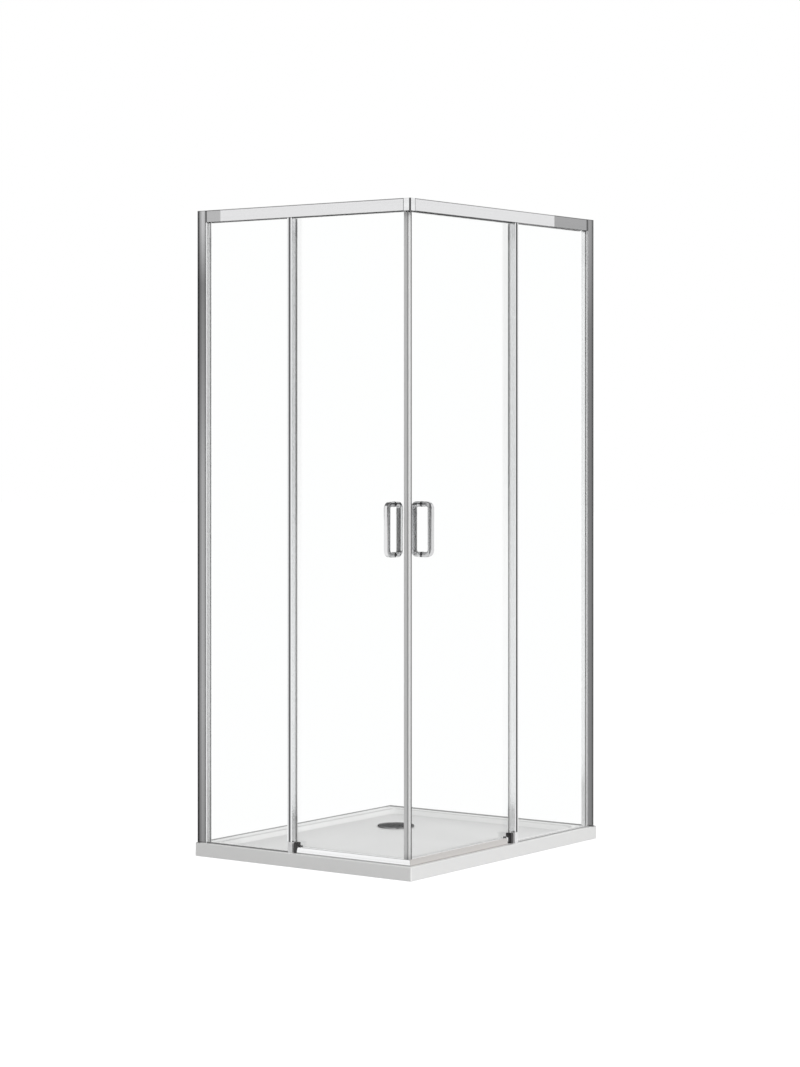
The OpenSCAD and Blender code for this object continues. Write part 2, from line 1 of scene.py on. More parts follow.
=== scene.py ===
"""Looks of a corner-entry shower cabin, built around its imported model.

The cabin is a slim cast tray with a domed waste cover, two fixed glass panels and two sliding glass
doors that meet at the entry corner. Lengths are metres. Each run of the enclosure has its own
frame: x from the wall to the entry corner, u from the enclosure's outer face inward, z up.
"""

import logging
import math
from dataclasses import dataclass
from enum import Enum
from typing import Callable, Iterable, Sequence

import bmesh
import bpy
from mathutils import Matrix, Vector


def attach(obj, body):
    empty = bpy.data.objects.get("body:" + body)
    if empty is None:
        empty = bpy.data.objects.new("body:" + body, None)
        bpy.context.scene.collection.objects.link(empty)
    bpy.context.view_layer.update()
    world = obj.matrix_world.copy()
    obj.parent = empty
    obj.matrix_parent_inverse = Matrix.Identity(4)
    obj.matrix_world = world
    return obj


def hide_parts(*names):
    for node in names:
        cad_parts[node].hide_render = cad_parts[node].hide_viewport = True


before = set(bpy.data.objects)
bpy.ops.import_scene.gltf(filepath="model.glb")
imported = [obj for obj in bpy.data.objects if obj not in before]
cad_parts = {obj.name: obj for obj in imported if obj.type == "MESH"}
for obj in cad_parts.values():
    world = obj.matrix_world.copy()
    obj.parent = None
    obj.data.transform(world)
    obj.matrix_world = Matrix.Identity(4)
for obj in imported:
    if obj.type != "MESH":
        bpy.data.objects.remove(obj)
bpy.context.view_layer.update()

LOG = logging.getLogger("shower_cabin")

Colour = tuple[float, float, float]
Span = tuple[float, float]
Stops = tuple[tuple[float, float], ...]     # distances and the value at each
Stretch = tuple[float, float, float]        # start, end and factor
Move = Callable[[Vector], Vector]           # gives a point's new place
Test = Callable[[Vector], bool]
Edges = list[bmesh.types.BMEdge]
Node = bpy.types.Node
Socket = bpy.types.NodeSocket

WELD = 2e-5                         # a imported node's corners nearer than this are one corner
FLAT_ANGLE = math.radians(0.5)      # faces that turn by less are one flat face
SHARP_ANGLE = math.radians(28)      # edges that turn by more are rounded
SMOOTH_ANGLE = math.radians(40)     # edges that turn by less are shaded smooth
TURN = 2 * math.pi
UP = Vector((0, 0, 1))
EDGE = 0.0004                       # usual width of a rounding
UNIT: Span = (0.0, 1.0)
NOISE: Span = (0.3, 0.7)            # range of a noise's value
WASTE_PLACE: Span = (-0.197, 0.249)


class Side(Enum):
    """The two runs of the enclosure."""

    LEFT = "left"
    RIGHT = "right"

    def node(self, name: str) -> str:
        """Full name of one of this run's nodes."""
        return f"{self.value}_{name}"


class Body(Enum):
    """Bodies that don't belong to one run."""

    FRAME = "cabin_frame"
    WASTE_COVER = "waste_cover_body"


class Slot(Enum):
    """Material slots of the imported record."""

    TRAY = "tray"
    WASTE_METAL = "waste_metal"
    DARK_RUBBER = "dark_rubber"
    DARK_PLASTIC = "dark_plastic"
    WALL_PROFILE = "wall_profile_metal"
    PROFILE = "profile_metal"
    RAIL = "rail_metal"
    GREY_PLASTIC = "grey_plastic"
    ROLLER = "roller_plastic"
    GLASS = "clear_glass"
    SEAL = "clear_seal"
    CHROME = "handle_chrome"


class Axis(Enum):
    """Axes of the cabin, each as the index of its coordinate."""

    X = 0
    Y = 1
    Z = 2


# Finishes


def shade(colour: Colour, factor: float) -> Colour:
    """Returns a colour made lighter or darker."""
    return tuple(min(1.0, c * factor) for c in colour)


@dataclass(frozen=True)
class Band:
    """A stretch along one axis over which a finish is painted lighter or darker: painted highlight
    or shade.
    """

    axis: Axis
    start: float
    end: float
    factor: float


class NodeBoard:
    """Adds and joins the shader nodes of one material or world."""

    def __init__(self, owner: bpy.types.Material | bpy.types.World, output: str) -> None:
        """Starts an empty tree with its output node.

        Args:
            owner: Material or world that the nodes belong to.
            output: Blender's name of the output node's type.
        """
        owner.use_nodes = True
        self.owner = owner
        self.tree = owner.node_tree
        self.tree.nodes.clear()
        self.output = self.add(output)

    @classmethod
    def of_material(cls, name: str) -> "NodeBoard":
        """Starts the nodes of a new material."""
        return cls(bpy.data.materials.new(name), "ShaderNodeOutputMaterial")

    def add(self, kind: str, **settings: object) -> Node:
        """Adds a node and sets its plain properties.

        Args:
            kind: Blender's name of the node type.
            settings: Properties of the node, such as operation.

        Returns:
            The new node.
        """
        node = self.tree.nodes.new(kind)
        for key, value in settings.items():
            setattr(node, key, value)
        return node

    def join(self, source: Socket, target: Socket) -> None:
        """Links one output to one input."""
        self.tree.links.new(source, target)

    def surface(self, shader: Node) -> bpy.types.Material | bpy.types.World:
        """Puts a shader on the output and returns the finished material or world."""
        self.join(shader.outputs[0], self.output.inputs["Surface"])
        return self.owner

    def principled(self, colour: Colour, **inputs: float) -> Node:
        """Adds the main shader.

        Args:
            colour: Base colour, linear.
            inputs: Plain numbers of other sockets, an underscore standing for each space.

        Returns:
            The shader node.
        """
        node = self.add("ShaderNodeBsdfPrincipled")
        node.inputs["Base Color"].default_value = (*colour, 1.0)
        for key, value in inputs.items():
            node.inputs[key.replace("_", " ")].default_value = value
        return node

    def emission(self) -> Node:
        """Adds a white glow.

        Returns:
            The shader node.
        """
        node = self.add("ShaderNodeEmission")
        node.inputs["Color"].default_value = (1, 1, 1, 1)
        return node

    def blend(self, factor: Socket, first: Node, second: Node) -> Node:
        """Blends two shaders.

        Args:
            factor: Share of the second shader.
            first: Shader at 0.
            second: Shader at 1.

        Returns:
            The blended shader.
        """
        node = self.add("ShaderNodeMixShader")
        for source, target in zip((factor, first.outputs[0], second.outputs[0]), node.inputs):
            self.join(source, target)
        return node

    def coordinate(self, axis: Axis) -> Socket:
        """Reads one Object coordinate.

        Args:
            axis: Axis to read it along.

        Returns:
            The coordinate.
        """
        place = self.add("ShaderNodeTexCoord")
        split = self.add("ShaderNodeSeparateXYZ")
        self.join(place.outputs["Object"], split.inputs["Vector"])
        return split.outputs[axis.value]

    def noise(
        self, grains: float, detail: float = 2.0, along: Axis | None = None, drawn: float = 1.0
    ) -> Socket:
        """Adds a noise on Object coordinates.

        Args:
            grains: Grains per metre.
            detail: Levels of finer noise.
            along: Axis along which the grains are drawn out, if any.
            drawn: Grains per metre along that axis.

        Returns:
            The noise's value, about 0.3 to 0.7.
        """
        scale = [grains] * 3
        if along is not None:
            scale[along.value] = drawn
        place = self.add("ShaderNodeTexCoord")
        mapping = self.add("ShaderNodeMapping")
        mapping.inputs["Scale"].default_value = scale
        noise = self.add("ShaderNodeTexNoise")
        noise.inputs["Scale"].default_value = 1.0
        noise.inputs["Detail"].default_value = detail
        self.join(place.outputs["Object"], mapping.inputs["Vector"])
        self.join(mapping.outputs["Vector"], noise.inputs["Vector"])
        return noise.outputs["Fac"]

    def spread(self, value: Socket, low: float, high: float, source: Span = NOISE) -> Socket:
        """Maps a value onto a range.

        Args:
            value: Socket that gives the value.
            low: Result at the source range's start.
            high: Result at its end.
            source: Range of the value.

        Returns:
            The mapped value.
        """
        node = self.add("ShaderNodeMapRange")
        for name, number in zip(("From Min", "From Max", "To Min", "To Max"), (*source, low, high)):
            node.inputs[name].default_value = number
        self.join(value, node.inputs["Value"])
        return node.outputs["Result"]

    def maths(self, operation: str, *values: Socket | float) -> Socket:
        """Adds a sum, product, comparison or the like.

        Args:
            operation: Blender's name of the operation.
            values: Its operands, sockets or plain numbers.

        Returns:
            The result.
        """
        node = self.add("ShaderNodeMath", operation=operation)
        for socket, value in zip(node.inputs, values):
            if isinstance(value, Socket):
                self.join(value, socket)
            else:
                socket.default_value = value
        return node.outputs[0]

    def mix(self, factor: Socket, first: Colour, second: Colour) -> Socket:
        """Blends two colours.

        Args:
            factor: Share of the second colour.
            first: Colour at 0.
            second: Colour at 1.

        Returns:
            The blended colour.
        """
        node = self.add("ShaderNodeMix", data_type="RGBA")
        for socket in node.inputs:
            if socket.type == "RGBA":
                socket.default_value = (*(first if socket.name == "A" else second), 1.0)
        self.join(factor, node.inputs["Factor"])
        return next(s for s in node.outputs if s.type == "RGBA")

    def mottled(self, noise: Socket, colour: Colour, low: float, high: float = 1.0) -> Socket:
        """Varies a colour by a noise, between two factors of itself."""
        return self.mix(self.spread(noise, *UNIT), shade(colour, low), shade(colour, high))

    def scaled(self, tone: Socket, factor: Socket) -> Socket:
        """Multiplies a colour by a number.

        Args:
            tone: The colour.
            factor: The number.

        Returns:
            The new colour.
        """
        node = self.add("ShaderNodeVectorMath", operation="SCALE")
        self.join(tone, node.inputs[0])
        self.join(factor, node.inputs["Scale"])
        return node.outputs[0]

    def graded(self, value: Socket, start: float, reach: float, stops: Stops) -> Socket:
        """Adds a ramp of greys along a length.

        Args:
            value: Socket that gives a coordinate.
            start: Coordinate from which distances count.
            reach: Length of the ramp, negative where distances run against the axis.
            stops: Distances and the grey at each.

        Returns:
            The colour.
        """
        node = self.add("ShaderNodeValToRGB")
        elements = node.color_ramp.elements
        elements.remove(elements[-1])
        for index, (distance, tone) in enumerate(stops):
            place = distance / abs(reach)
            stop = elements[0] if index == 0 else elements.new(place)
            stop.position = place
            stop.color = (tone, tone, tone * 1.01, 1.0)
        self.join(self.spread(value, *UNIT, (start, start + reach)), node.inputs["Fac"])
        return node.outputs["Color"]

    def inside(self, band: Band) -> Socket:
        """Tells, as 0 or 1, whether a point lies on a stretch."""
        middle, half = (band.start + band.end) / 2, abs(band.end - band.start) / 2
        return self.maths("COMPARE", self.coordinate(band.axis), middle, half)

    def paint(self, shader: Node, tone: Socket, bands: Iterable[Band] = ()) -> None:
        """Gives a shader its colour.

        Args:
            shader: Shader to work on.
            tone: The colour.
            bands: Stretches of painted highlight and painted shade, over which it is lighter or
                darker.
        """
        for band in bands:
            tone = self.scaled(tone, self.spread(self.inside(band), 1.0, band.factor, UNIT))
        self.join(tone, shader.inputs["Base Color"])

    def roughen(self, shader: Node, noise: Socket, roughness: Span) -> None:
        """Gives a shader a roughness that a noise varies."""
        self.join(self.spread(noise, *roughness), shader.inputs["Roughness"])

    def bump(self, shader: Node, height: Socket, depth: float, strength: float) -> None:
        """Gives a shader's surface a relief.

        Args:
            shader: Shader to work on.
            height: Socket that gives the height, 0 to 1.
            depth: Height of the relief at 1, in metres.
            strength: Share of the relief that shows.
        """
        node = self.add("ShaderNodeBump")
        node.inputs["Strength"].default_value = strength
        node.inputs["Distance"].default_value = depth
        self.join(height, node.inputs["Height"])
        self.join(node.outputs["Normal"], shader.inputs["Normal"])

    def draw_out(self, shader: Node, along: Axis, roughness: Span) -> None:
        """Gives metal the faint lines of its drawing, in its gloss and in its relief.

        Args:
            shader: Shader to work on.
            along: Axis along which the metal was drawn.
            roughness: Range of the roughness.
        """
        lines = self.noise(grains=900.0, detail=3.0, along=along, drawn=1.2)
        self.roughen(shader, lines, roughness)
        self.bump(shader, lines, depth=0.00002, strength=0.5)

    def seen_rays(self) -> tuple[bpy.types.bpy_prop_collection, Socket, Socket]:
        """Sorts the rays that reach the studio.

        Returns:
            The outputs of Light Path, whether no diffuse surface has sent a ray on, and whether a
            ray comes from metal, also where it then went through glass.
        """
        rays = self.add("ShaderNodeLightPath").outputs
        direct = self.maths("LESS_THAN", rays["Diffuse Depth"], 0.5)
        mirror = self.maths("GREATER_THAN", rays["Glossy Depth"], 0.5)
        behind = self.maths("MULTIPLY", rays["Is Transmission Ray"], mirror)
        return rays, direct, self.maths("MAXIMUM", rays["Is Glossy Ray"], behind)


@dataclass(frozen=True)
class DrawnMetal:
    """Bright anodised aluminium with faint drawing lines along its length."""

    name: str
    colour: Colour
    along: Axis
    roughness: Span = (0.1, 0.22)
    contrast: float = 0.05
    # stretches of painted shade, where given
    bands: tuple[Band, ...] = ()

    def material(self) -> bpy.types.Material:
        """Builds the material.

        Returns:
            The material.
        """
        board = NodeBoard.of_material(self.name)
        shader = board.principled(self.colour, Metallic=1.0)
        swathes = board.noise(grains=90.0, along=self.along, drawn=0.7)
        tone = board.mottled(swathes, self.colour, 1 - self.contrast, 1 + self.contrast)
        board.paint(shader, tone, self.bands)
        board.draw_out(shader, self.along, self.roughness)
        return board.surface(shader)


@dataclass(frozen=True)
class BandedMetal:
    """Polished aluminium with painted reflections and painted shadow lines.

    Its painted tone changes with the distance from the wall and with the height. Its lips carry
    painted shade, and where it is cut to length its end is matt, so that the painted dark tone
    there shows as a painted shadow line. The tones stand at distances from the wall and the gains
    at heights. The reach has the sign of the way from the wall.
    """

    name: str
    drawn: Axis
    across: Axis
    wall_at: float
    reach: float
    tones: Stops
    bands: tuple[Band, ...]
    roughness: Span = (0.1, 0.2)
    cut_end: Band | None = None
    gains: Stops = ()

    def material(self) -> bpy.types.Material:
        """Builds the material.

        Returns:
            The material.
        """
        board = NodeBoard.of_material(self.name)
        shader = board.principled((0.5, 0.5, 0.5), Metallic=1.0)
        tone = board.graded(board.coordinate(self.across), self.wall_at, self.reach, self.tones)
        if self.gains:
            top, most = self.gains[-1][0], max(gain for _, gain in self.gains)
            shares = tuple((z, gain / most) for z, gain in self.gains)
            share = board.graded(board.coordinate(Axis.Z), 0.0, top, shares)
            tone = board.scaled(tone, board.maths("MULTIPLY", share, most))
        board.paint(shader, tone, self.bands)
        if self.cut_end:
            polished = board.maths("SUBTRACT", 1.0, board.inside(self.cut_end))
            board.join(polished, shader.inputs["Metallic"])
        board.draw_out(shader, self.drawn, self.roughness)
        return board.surface(shader)


@dataclass(frozen=True)
class Chrome:
    """Polished chrome plating with the faint unevenness of the polished body under it."""

    name: str
    colour: Colour
    roughness: Span = (0.03, 0.08)
    edge_tint: float = 1.0
    # stretches of painted dark reflection, where given
    bands: tuple[Band, ...] = ()

    def material(self) -> bpy.types.Material:
        """Builds the material.

        Returns:
            The material.
        """
        board = NodeBoard.of_material(self.name)
        shader = board.principled(self.colour, Metallic=1.0)
        shader.inputs["Specular Tint"].default_value = (*[self.edge_tint] * 3, 1.0)
        smears = board.noise(grains=35.0, detail=4.0)
        waves = board.noise(grains=110.0, detail=1.0)
        board.paint(shader, board.mottled(smears, self.colour, 0.97), self.bands)
        board.roughen(shader, smears, self.roughness)
        board.bump(shader, waves, depth=0.00004, strength=0.4)
        return board.surface(shader)


@dataclass(frozen=True)
class CastSurface:
    """Satin white cast tray: a fine orange-peel relief and a barely uneven gloss.

    Its rim, slopes and rounded edges are glossier than its floor and sides, and painted whiter as a
    painted highlight. Along the two walls the rim has a painted shade line at its outer edge and a
    faint one at its inner edge, where it also loses gloss. The painted shade lines are given by the
    distance from the left run's wall and from the right run's.
    """

    name: str
    colour: Colour
    half: Span
    rim_highlight_gain: float
    coat: Span
    floor_top: float
    rim_top: float
    shade_lines: tuple[Stops, Stops]
    side_skin: float = 0.0004       # a point nearer to the upright sides than this belongs to them
    rounding: float = 0.004         # and one nearer than this to the rounded edges
    specular: float = 0.4
    shade_line_dulling: float = 1.5       # how much faster a painted shade line loses its gloss than its tone
    roughness: Span = (0.3, 0.42)

    def material(self) -> bpy.types.Material:
        """Builds the material.

        Returns:
            The material.
        """
        board = NodeBoard.of_material(self.name)
        shader = board.principled(self.colour, Coat_Roughness=0.12)
        clouds = board.noise(grains=7.0, detail=4.0)
        peel = board.noise(grains=650.0, detail=1.0)
        smooth, shadow = self.parts(board)
        # painted highlight: the rim, slopes and roundings are painted lighter
        gain = board.spread(smooth, 1.0, self.rim_highlight_gain, UNIT)
        lit = board.maths("MULTIPLY", gain, board.maths("SUBTRACT", 1.0, shadow))
        board.paint(shader, board.scaled(board.mottled(clouds, self.colour, 0.985), lit))
        dulled = board.maths("MULTIPLY_ADD", shadow, -self.shade_line_dulling, 1.0)
        gloss = board.maths("MAXIMUM", 0.0, dulled)
        coat = board.spread(smooth, *self.coat, UNIT)
        board.join(board.maths("MULTIPLY", coat, gloss), shader.inputs["Coat Weight"])
        specular = board.maths("MULTIPLY", self.specular, gloss)
        board.join(specular, shader.inputs["Specular IOR Level"])
        board.roughen(shader, clouds, self.roughness)
        board.bump(shader, peel, depth=0.00004, strength=0.35)
        return board.surface(shader)

    def parts(self, board: NodeBoard) -> tuple[Socket, Socket]:
        """Works out which part of the casting a point is on.

        Args:
            board: Board of the material.

        Returns:
            Whether it is on the smooth rim, slopes or roundings, and the depth of painted shade.
        """
        half_x, half_y = self.half
        x, y, z = (board.coordinate(axis) for axis in Axis)
        to_walls = (board.maths("ADD", x, half_x), board.maths("SUBTRACT", half_y, y))
        to_sides = (
            board.maths("SUBTRACT", half, board.maths("ABSOLUTE", value))
            for half, value in ((half_x, x), (half_y, y))
        )
        to_side = board.maths("MINIMUM", *to_sides)
        off_side = board.maths("GREATER_THAN", to_side, self.side_skin)
        near = board.maths("LESS_THAN", to_side, self.rounding)
        high, on_rim = (
            board.maths("MULTIPLY", off_side, board.maths("GREATER_THAN", z, level))
            for level in (self.floor_top, self.rim_top)
        )
        smooth = board.maths("MAXIMUM", board.maths("MULTIPLY", off_side, near), high)
        tones = (
            board.graded(to_wall, 0.0, stops[-1][0], stops)
            for to_wall, stops in zip(to_walls, self.shade_lines)
        )
        # painted shade lines along the walls: 1 where there is none
        unshaded_share = board.maths("MINIMUM", *tones)
        return smooth, board.maths("MULTIPLY", on_rim, board.maths("SUBTRACT", 1.0, unshaded_share))


@dataclass(frozen=True)
class Moulded:
    """Moulded plastic or rubber with a fine grain."""

    name: str
    colour: Colour
    roughness: Span
    grain: float = 0.00005
    sheen: float = 0.0
    # stretches of painted highlight, where given
    bands: tuple[Band, ...] = ()

    def material(self) -> bpy.types.Material:
        """Builds the material.

        Returns:
            The material.
        """
        board = NodeBoard.of_material(self.name)
        shader = board.principled(self.colour, Sheen_Weight=self.sheen)
        clouds = board.noise(grains=60.0, detail=3.0)
        grain = board.noise(grains=2200.0)
        board.paint(shader, board.mottled(clouds, self.colour, 0.92, 1.06), self.bands)
        board.roughen(shader, clouds, self.roughness)
        board.bump(shader, grain, depth=self.grain, strength=0.5)
        return board.surface(shader)


@dataclass(frozen=True)
class SoftClear:
    """Translucent soft plastic of the push-on seals, with faint lines along its length.

    Its darker bands, across it and along the run, are painted shade.
    """

    name: str
    colour: Colour
    along: Axis
    clearness: float
    # stretches of painted shade
    bands: tuple[Band, ...]

    def material(self) -> bpy.types.Material:
        """Builds the material.

        Returns:
            The material.
        """
        board = NodeBoard.of_material(self.name)
        shader = board.principled(self.colour, IOR=1.45, Transmission_Weight=self.clearness)
        lines = board.noise(grains=700.0, along=self.along, drawn=1.5)
        board.paint(shader, board.mottled(lines, self.colour, 0.94), self.bands)
        board.roughen(shader, lines, (0.22, 0.4))
        board.bump(shader, lines, depth=0.00003, strength=0.5)
        return board.surface(shader)


@dataclass(frozen=True)
class ClearGlass:
    """Clear toughened glass with a trace of water spots.

    It lets light through to what it encloses.
    """

    name: str
    colour: Colour
    ior: float = 1.5

    def material(self) -> bpy.types.Material:
        """Builds the material.

        Returns:
            The material.
        """
        board = NodeBoard.of_material(self.name)
        shader = board.principled(self.colour, IOR=self.ior, Transmission_Weight=1.0)
        spots = board.noise(grains=14.0, detail=3.0, along=Axis.Z, drawn=5.0)
        board.roughen(shader, spots, (0.0, 0.012))
        rays = board.add("ShaderNodeLightPath").outputs
        light = board.maths("MAXIMUM", rays["Is Shadow Ray"], rays["Is Diffuse Ray"])
        through = board.add("ShaderNodeBsdfTransparent")
        through.inputs["Color"].default_value = (0.985, 0.985, 0.985, 1.0)
        return board.surface(board.blend(light, shader, through))


Finish = DrawnMetal | BandedMetal | Chrome | CastSurface | Moulded | SoftClear | ClearGlass


class Finishes:
    """The finishes that both runs share, and the store of materials, each made once."""

    # painted shade lines along the walls on the tray's rim
    faint_shade_line: Stops = ((0.042, 1.0), (0.045, 0.76), (0.052, 0.76), (0.058, 1.0))
    tray = CastSurface(
        "cast_white", (0.83, 0.83, 0.825), half=(0.4, 0.5), rim_highlight_gain=1.19, coat=(0.12, 0.55),
        floor_top=0.0245, rim_top=0.0375, shade_lines=(
            ((0.0, 0.36), (0.017, 0.36), (0.02, 1.0), *faint_shade_line),
            ((0.0, 0.3), (0.028, 0.3), (0.031, 1.0), *faint_shade_line),
        ),
    )
    upright = DrawnMetal("polished_upright", (0.86, 0.865, 0.87), Axis.Z)
    rear = DrawnMetal("polished_rear", (0.97, 0.97, 0.975), Axis.Z, (0.07, 0.11), contrast=0.03)
    glass = ClearGlass("clear_glass", (0.992, 0.998, 0.996))
    drip_seal = ClearGlass("clear_drip", (0.985, 0.987, 0.987), ior=1.1)
    waste_chrome = Chrome("waste_chrome", (0.16, 0.162, 0.165), (0.16, 0.26), edge_tint=0.16)
    steel = Chrome("plain_steel", (0.55, 0.555, 0.56), (0.2, 0.32))
    rubber = Moulded("dark_rubber", (0.035, 0.035, 0.037), (0.5, 0.7), sheen=0.1)
    gasket = Moulded("dark_gasket", (0.16, 0.16, 0.165), (0.4, 0.55))
    dark_plastic = Moulded("dark_plastic", (0.035, 0.033, 0.035), (0.35, 0.5))
    grey_plastic = Moulded("grey_plastic", (0.62, 0.62, 0.63), (0.35, 0.5))
    light_plastic = Moulded("light_plastic", (0.88, 0.88, 0.885), (0.3, 0.45))
    roller = Moulded("roller_plastic", (0.7, 0.7, 0.68), (0.25, 0.35), grain=0.00002)

    def __init__(self) -> None:
        """Starts with no material made."""
        self.made: dict[str, bpy.types.Material] = {}

    def material(self, finish: Finish) -> bpy.types.Material:
        """Gives a finish's material, made at its first use.

        Args:
            finish: The finish.

        Returns:
            The material.
        """
        if finish.name not in self.made:
            self.made[finish.name] = finish.material()
        return self.made[finish.name]


FINISHES = Finishes()


# Shapes


@dataclass(frozen=True)
class RoundRect:
    """A rectangle with round corners, about a centre."""

    width: float
    depth: float
    radius: float

    def inset(self, distance: float, radius: float) -> "RoundRect":
        """Returns a rectangle that lies inside this one."""
        return RoundRect(self.width - 2 * distance, self.depth - 2 * distance, radius)

    def carry(self, point: Vector, target: "RoundRect") -> Vector:
        """Moves a point of this outline to the same place on another one.

        Args:
            point: Point of this outline, from its centre.
            target: Outline to move it to.

        Returns:
            The point on the other outline, at the same height.
        """
        moved = point.copy()
        pairs = ((self.width, target.width), (self.depth, target.depth))
        for axis, (old, new) in enumerate(pairs):
            straight, new_straight = old / 2 - self.radius, new / 2 - target.radius
            size = abs(point[axis])
            if size > straight:
                size = new_straight + (size - straight) * target.radius / self.radius
            else:
                size *= new_straight / straight
            moved[axis] = math.copysign(size, point[axis])
        return moved


def levelled(z: float) -> Move:
    """Gives the move of a point straight to a height."""
    return lambda p: Vector((p.x, p.y, z))


def fitted(old: RoundRect, new: RoundRect, z: float) -> Move:
    """Gives the move of a point from one outline to another, at a height."""
    return lambda p: levelled(z)(old.carry(p, new))


def circled(centre: Vector, radius: float, z: float) -> Move:
    """Gives the move of a point onto a circle about a centre, at a height."""
    return lambda p: levelled(z)(centre + (levelled(0)(p) - centre).normalized() * radius)


class Shape:
    """A mesh being worked on, with the steps that the cabin's pieces share."""

    def __init__(self) -> None:
        """Starts empty."""
        self.bm = bmesh.new()

    @classmethod
    def of_node(cls, node: str) -> "Shape":
        """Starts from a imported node, its loose triangles joined and its flat faces made whole.

        Args:
            node: Name of the node.

        Returns:
            The shape, with its faces pointing out.
        """
        shape = cls()
        shape.bm.from_mesh(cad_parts[node].data)
        bmesh.ops.remove_doubles(shape.bm, verts=shape.bm.verts[:], dist=WELD)
        bmesh.ops.dissolve_limit(
            shape.bm, angle_limit=FLAT_ANGLE, use_dissolve_boundaries=False,
            verts=shape.bm.verts[:], edges=shape.bm.edges[:], delimit=set(),
        )
        shape.face_out()
        return shape

    def face_out(self) -> None:
        """Points every face outwards."""
        bmesh.ops.recalc_face_normals(self.bm, faces=self.bm.faces[:])

    def bevel(
        self, geom: Iterable[bmesh.types.BMEdge | bmesh.types.BMVert], radius: float, segments: int,
        affect: str = "EDGES", clamp: bool = True,
    ) -> None:
        """Rounds edges or corners.

        Args:
            geom: Edges or corners to round.
            radius: Width of the rounding on each face.
            segments: Faces across the rounding.
            affect: Whether edges or vertices are rounded.
            clamp: Whether a rounding stops where it meets another one.
        """
        bmesh.ops.bevel(
            self.bm, geom=[g for g in geom if g.is_valid], offset=radius, offset_type="OFFSET",
            segments=segments, profile=0.5, affect=affect, clamp_overlap=clamp, material=-1,
        )

    def soften(self, radius: float, segments: int = 2, where: Test | None = None) -> None:
        """Rounds the edges at which the surface turns.

        Args:
            radius: Width of the rounding on each face.
            segments: Faces across the rounding.
            where: Test of an edge's middle, or None for all edges.
        """
        sharp = []
        for edge in self.bm.edges:
            if len(edge.link_faces) == 2 and edge.calc_face_angle(0.0) >= SHARP_ANGLE:
                middle = (edge.verts[0].co + edge.verts[1].co) / 2
                if where is None or where(middle):
                    sharp.append(edge)
        self.bevel(sharp, radius, segments)

    def ring(self, outline: RoundRect, segments: int, cuts: int) -> Edges:
        """Makes the first outline of a piece that is built from outline to outline.

        Args:
            outline: Rounded rectangle, about the origin.
            segments: Edges round each corner.
            cuts: Points added to each straight side.

        Returns:
            The outline's edges.
        """
        half_x, half_y = outline.width / 2, outline.depth / 2
        corners = [(-1, -1), (1, -1), (1, 1), (-1, 1)]
        verts = [self.bm.verts.new((sx * half_x, sy * half_y, 0)) for sx, sy in corners]
        self.bm.faces.new(verts)
        self.bevel(verts, outline.radius, segments, affect="VERTICES", clamp=False)
        face = next(f for f in self.bm.faces if len(f.verts) > 4)
        bmesh.ops.delete(self.bm, geom=[face], context="FACES_ONLY")
        if cuts:
            longest = min(outline.width, outline.depth) / 2 - outline.radius
            sides = [e for e in self.bm.edges if e.calc_length() > longest]
            bmesh.ops.subdivide_edges(self.bm, edges=sides, cuts=cuts)
        return [e for e in self.bm.edges if not e.link_faces]

    def grow(self, ring: Edges, move: Move) -> Edges:
        """Extrudes an outline and moves the new points.

        Args:
            ring: Edges of the outline.
            move: Gives a new point's place from the old one's.

        Returns:
            The new outline's edges.
        """
        made = bmesh.ops.extrude_edge_only(self.bm, edges=ring)["geom"]
        for vert in (g for g in made if isinstance(g, bmesh.types.BMVert)):
            vert.co = move(vert.co)
        return [g for g in made if isinstance(g, bmesh.types.BMEdge)]

    def turned(
        self, outline: Sequence[tuple[float, float]], centre: Vector, axis: Vector, steps: int
    ) -> None:
        """Turns a closed outline about an axis.

        Args:
            outline: Points as (distance from the axis, height along it).
            centre: Point of the axis from which heights count.
            axis: Direction of the axis.
            steps: Faces round the piece.
        """
        across = axis.orthogonal().normalized()
        points = [self.bm.verts.new(centre + across * r + axis * h) for r, h in outline]
        edges = [self.bm.edges.new(pair) for pair in zip(points, points[1:] + points[:1])]
        bmesh.ops.spin(
            self.bm, geom=points + edges, cent=centre, axis=axis, angle=TURN, steps=steps,
            use_merge=True, use_normal_flip=False, use_duplicate=False,
        )
        bmesh.ops.remove_doubles(self.bm, verts=self.bm.verts[:], dist=1e-7)
        bmesh.ops.dissolve_degenerate(self.bm, edges=self.bm.edges[:], dist=1e-8)
        self.face_out()

    def slim(self, amount: float) -> None:
        """Draws a flat piece in by the same amount on every side.

        Args:
            amount: Distance that each outer face moves in.
        """
        lo, hi = self.box()
        size, centre = hi - lo, (lo + hi) / 2
        factor = Vector(((s - 2 * amount) / s for s in size))
        bmesh.ops.scale(
            self.bm, vec=factor, space=Matrix.Translation(-centre), verts=self.bm.verts[:]
        )

    def box(self) -> tuple[Vector, Vector]:
        """Returns the lowest and highest corner."""
        places = [v.co for v in self.bm.verts]
        return tuple(Vector(pick(p[i] for p in places) for i in range(3)) for pick in (min, max))

    def place(self, matrix: Matrix) -> None:
        """Moves the whole shape, and points its faces outwards again."""
        bmesh.ops.transform(self.bm, matrix=matrix, verts=self.bm.verts[:])
        self.face_out()

    def take_in(self, other: "Shape") -> None:
        """Adds another shape, which is used up.

        Args:
            other: The shape to add.
        """
        mesh = bpy.data.meshes.new("taken_in")
        other.bm.to_mesh(mesh)
        other.bm.free()
        self.bm.from_mesh(mesh)
        bpy.data.meshes.remove(mesh)

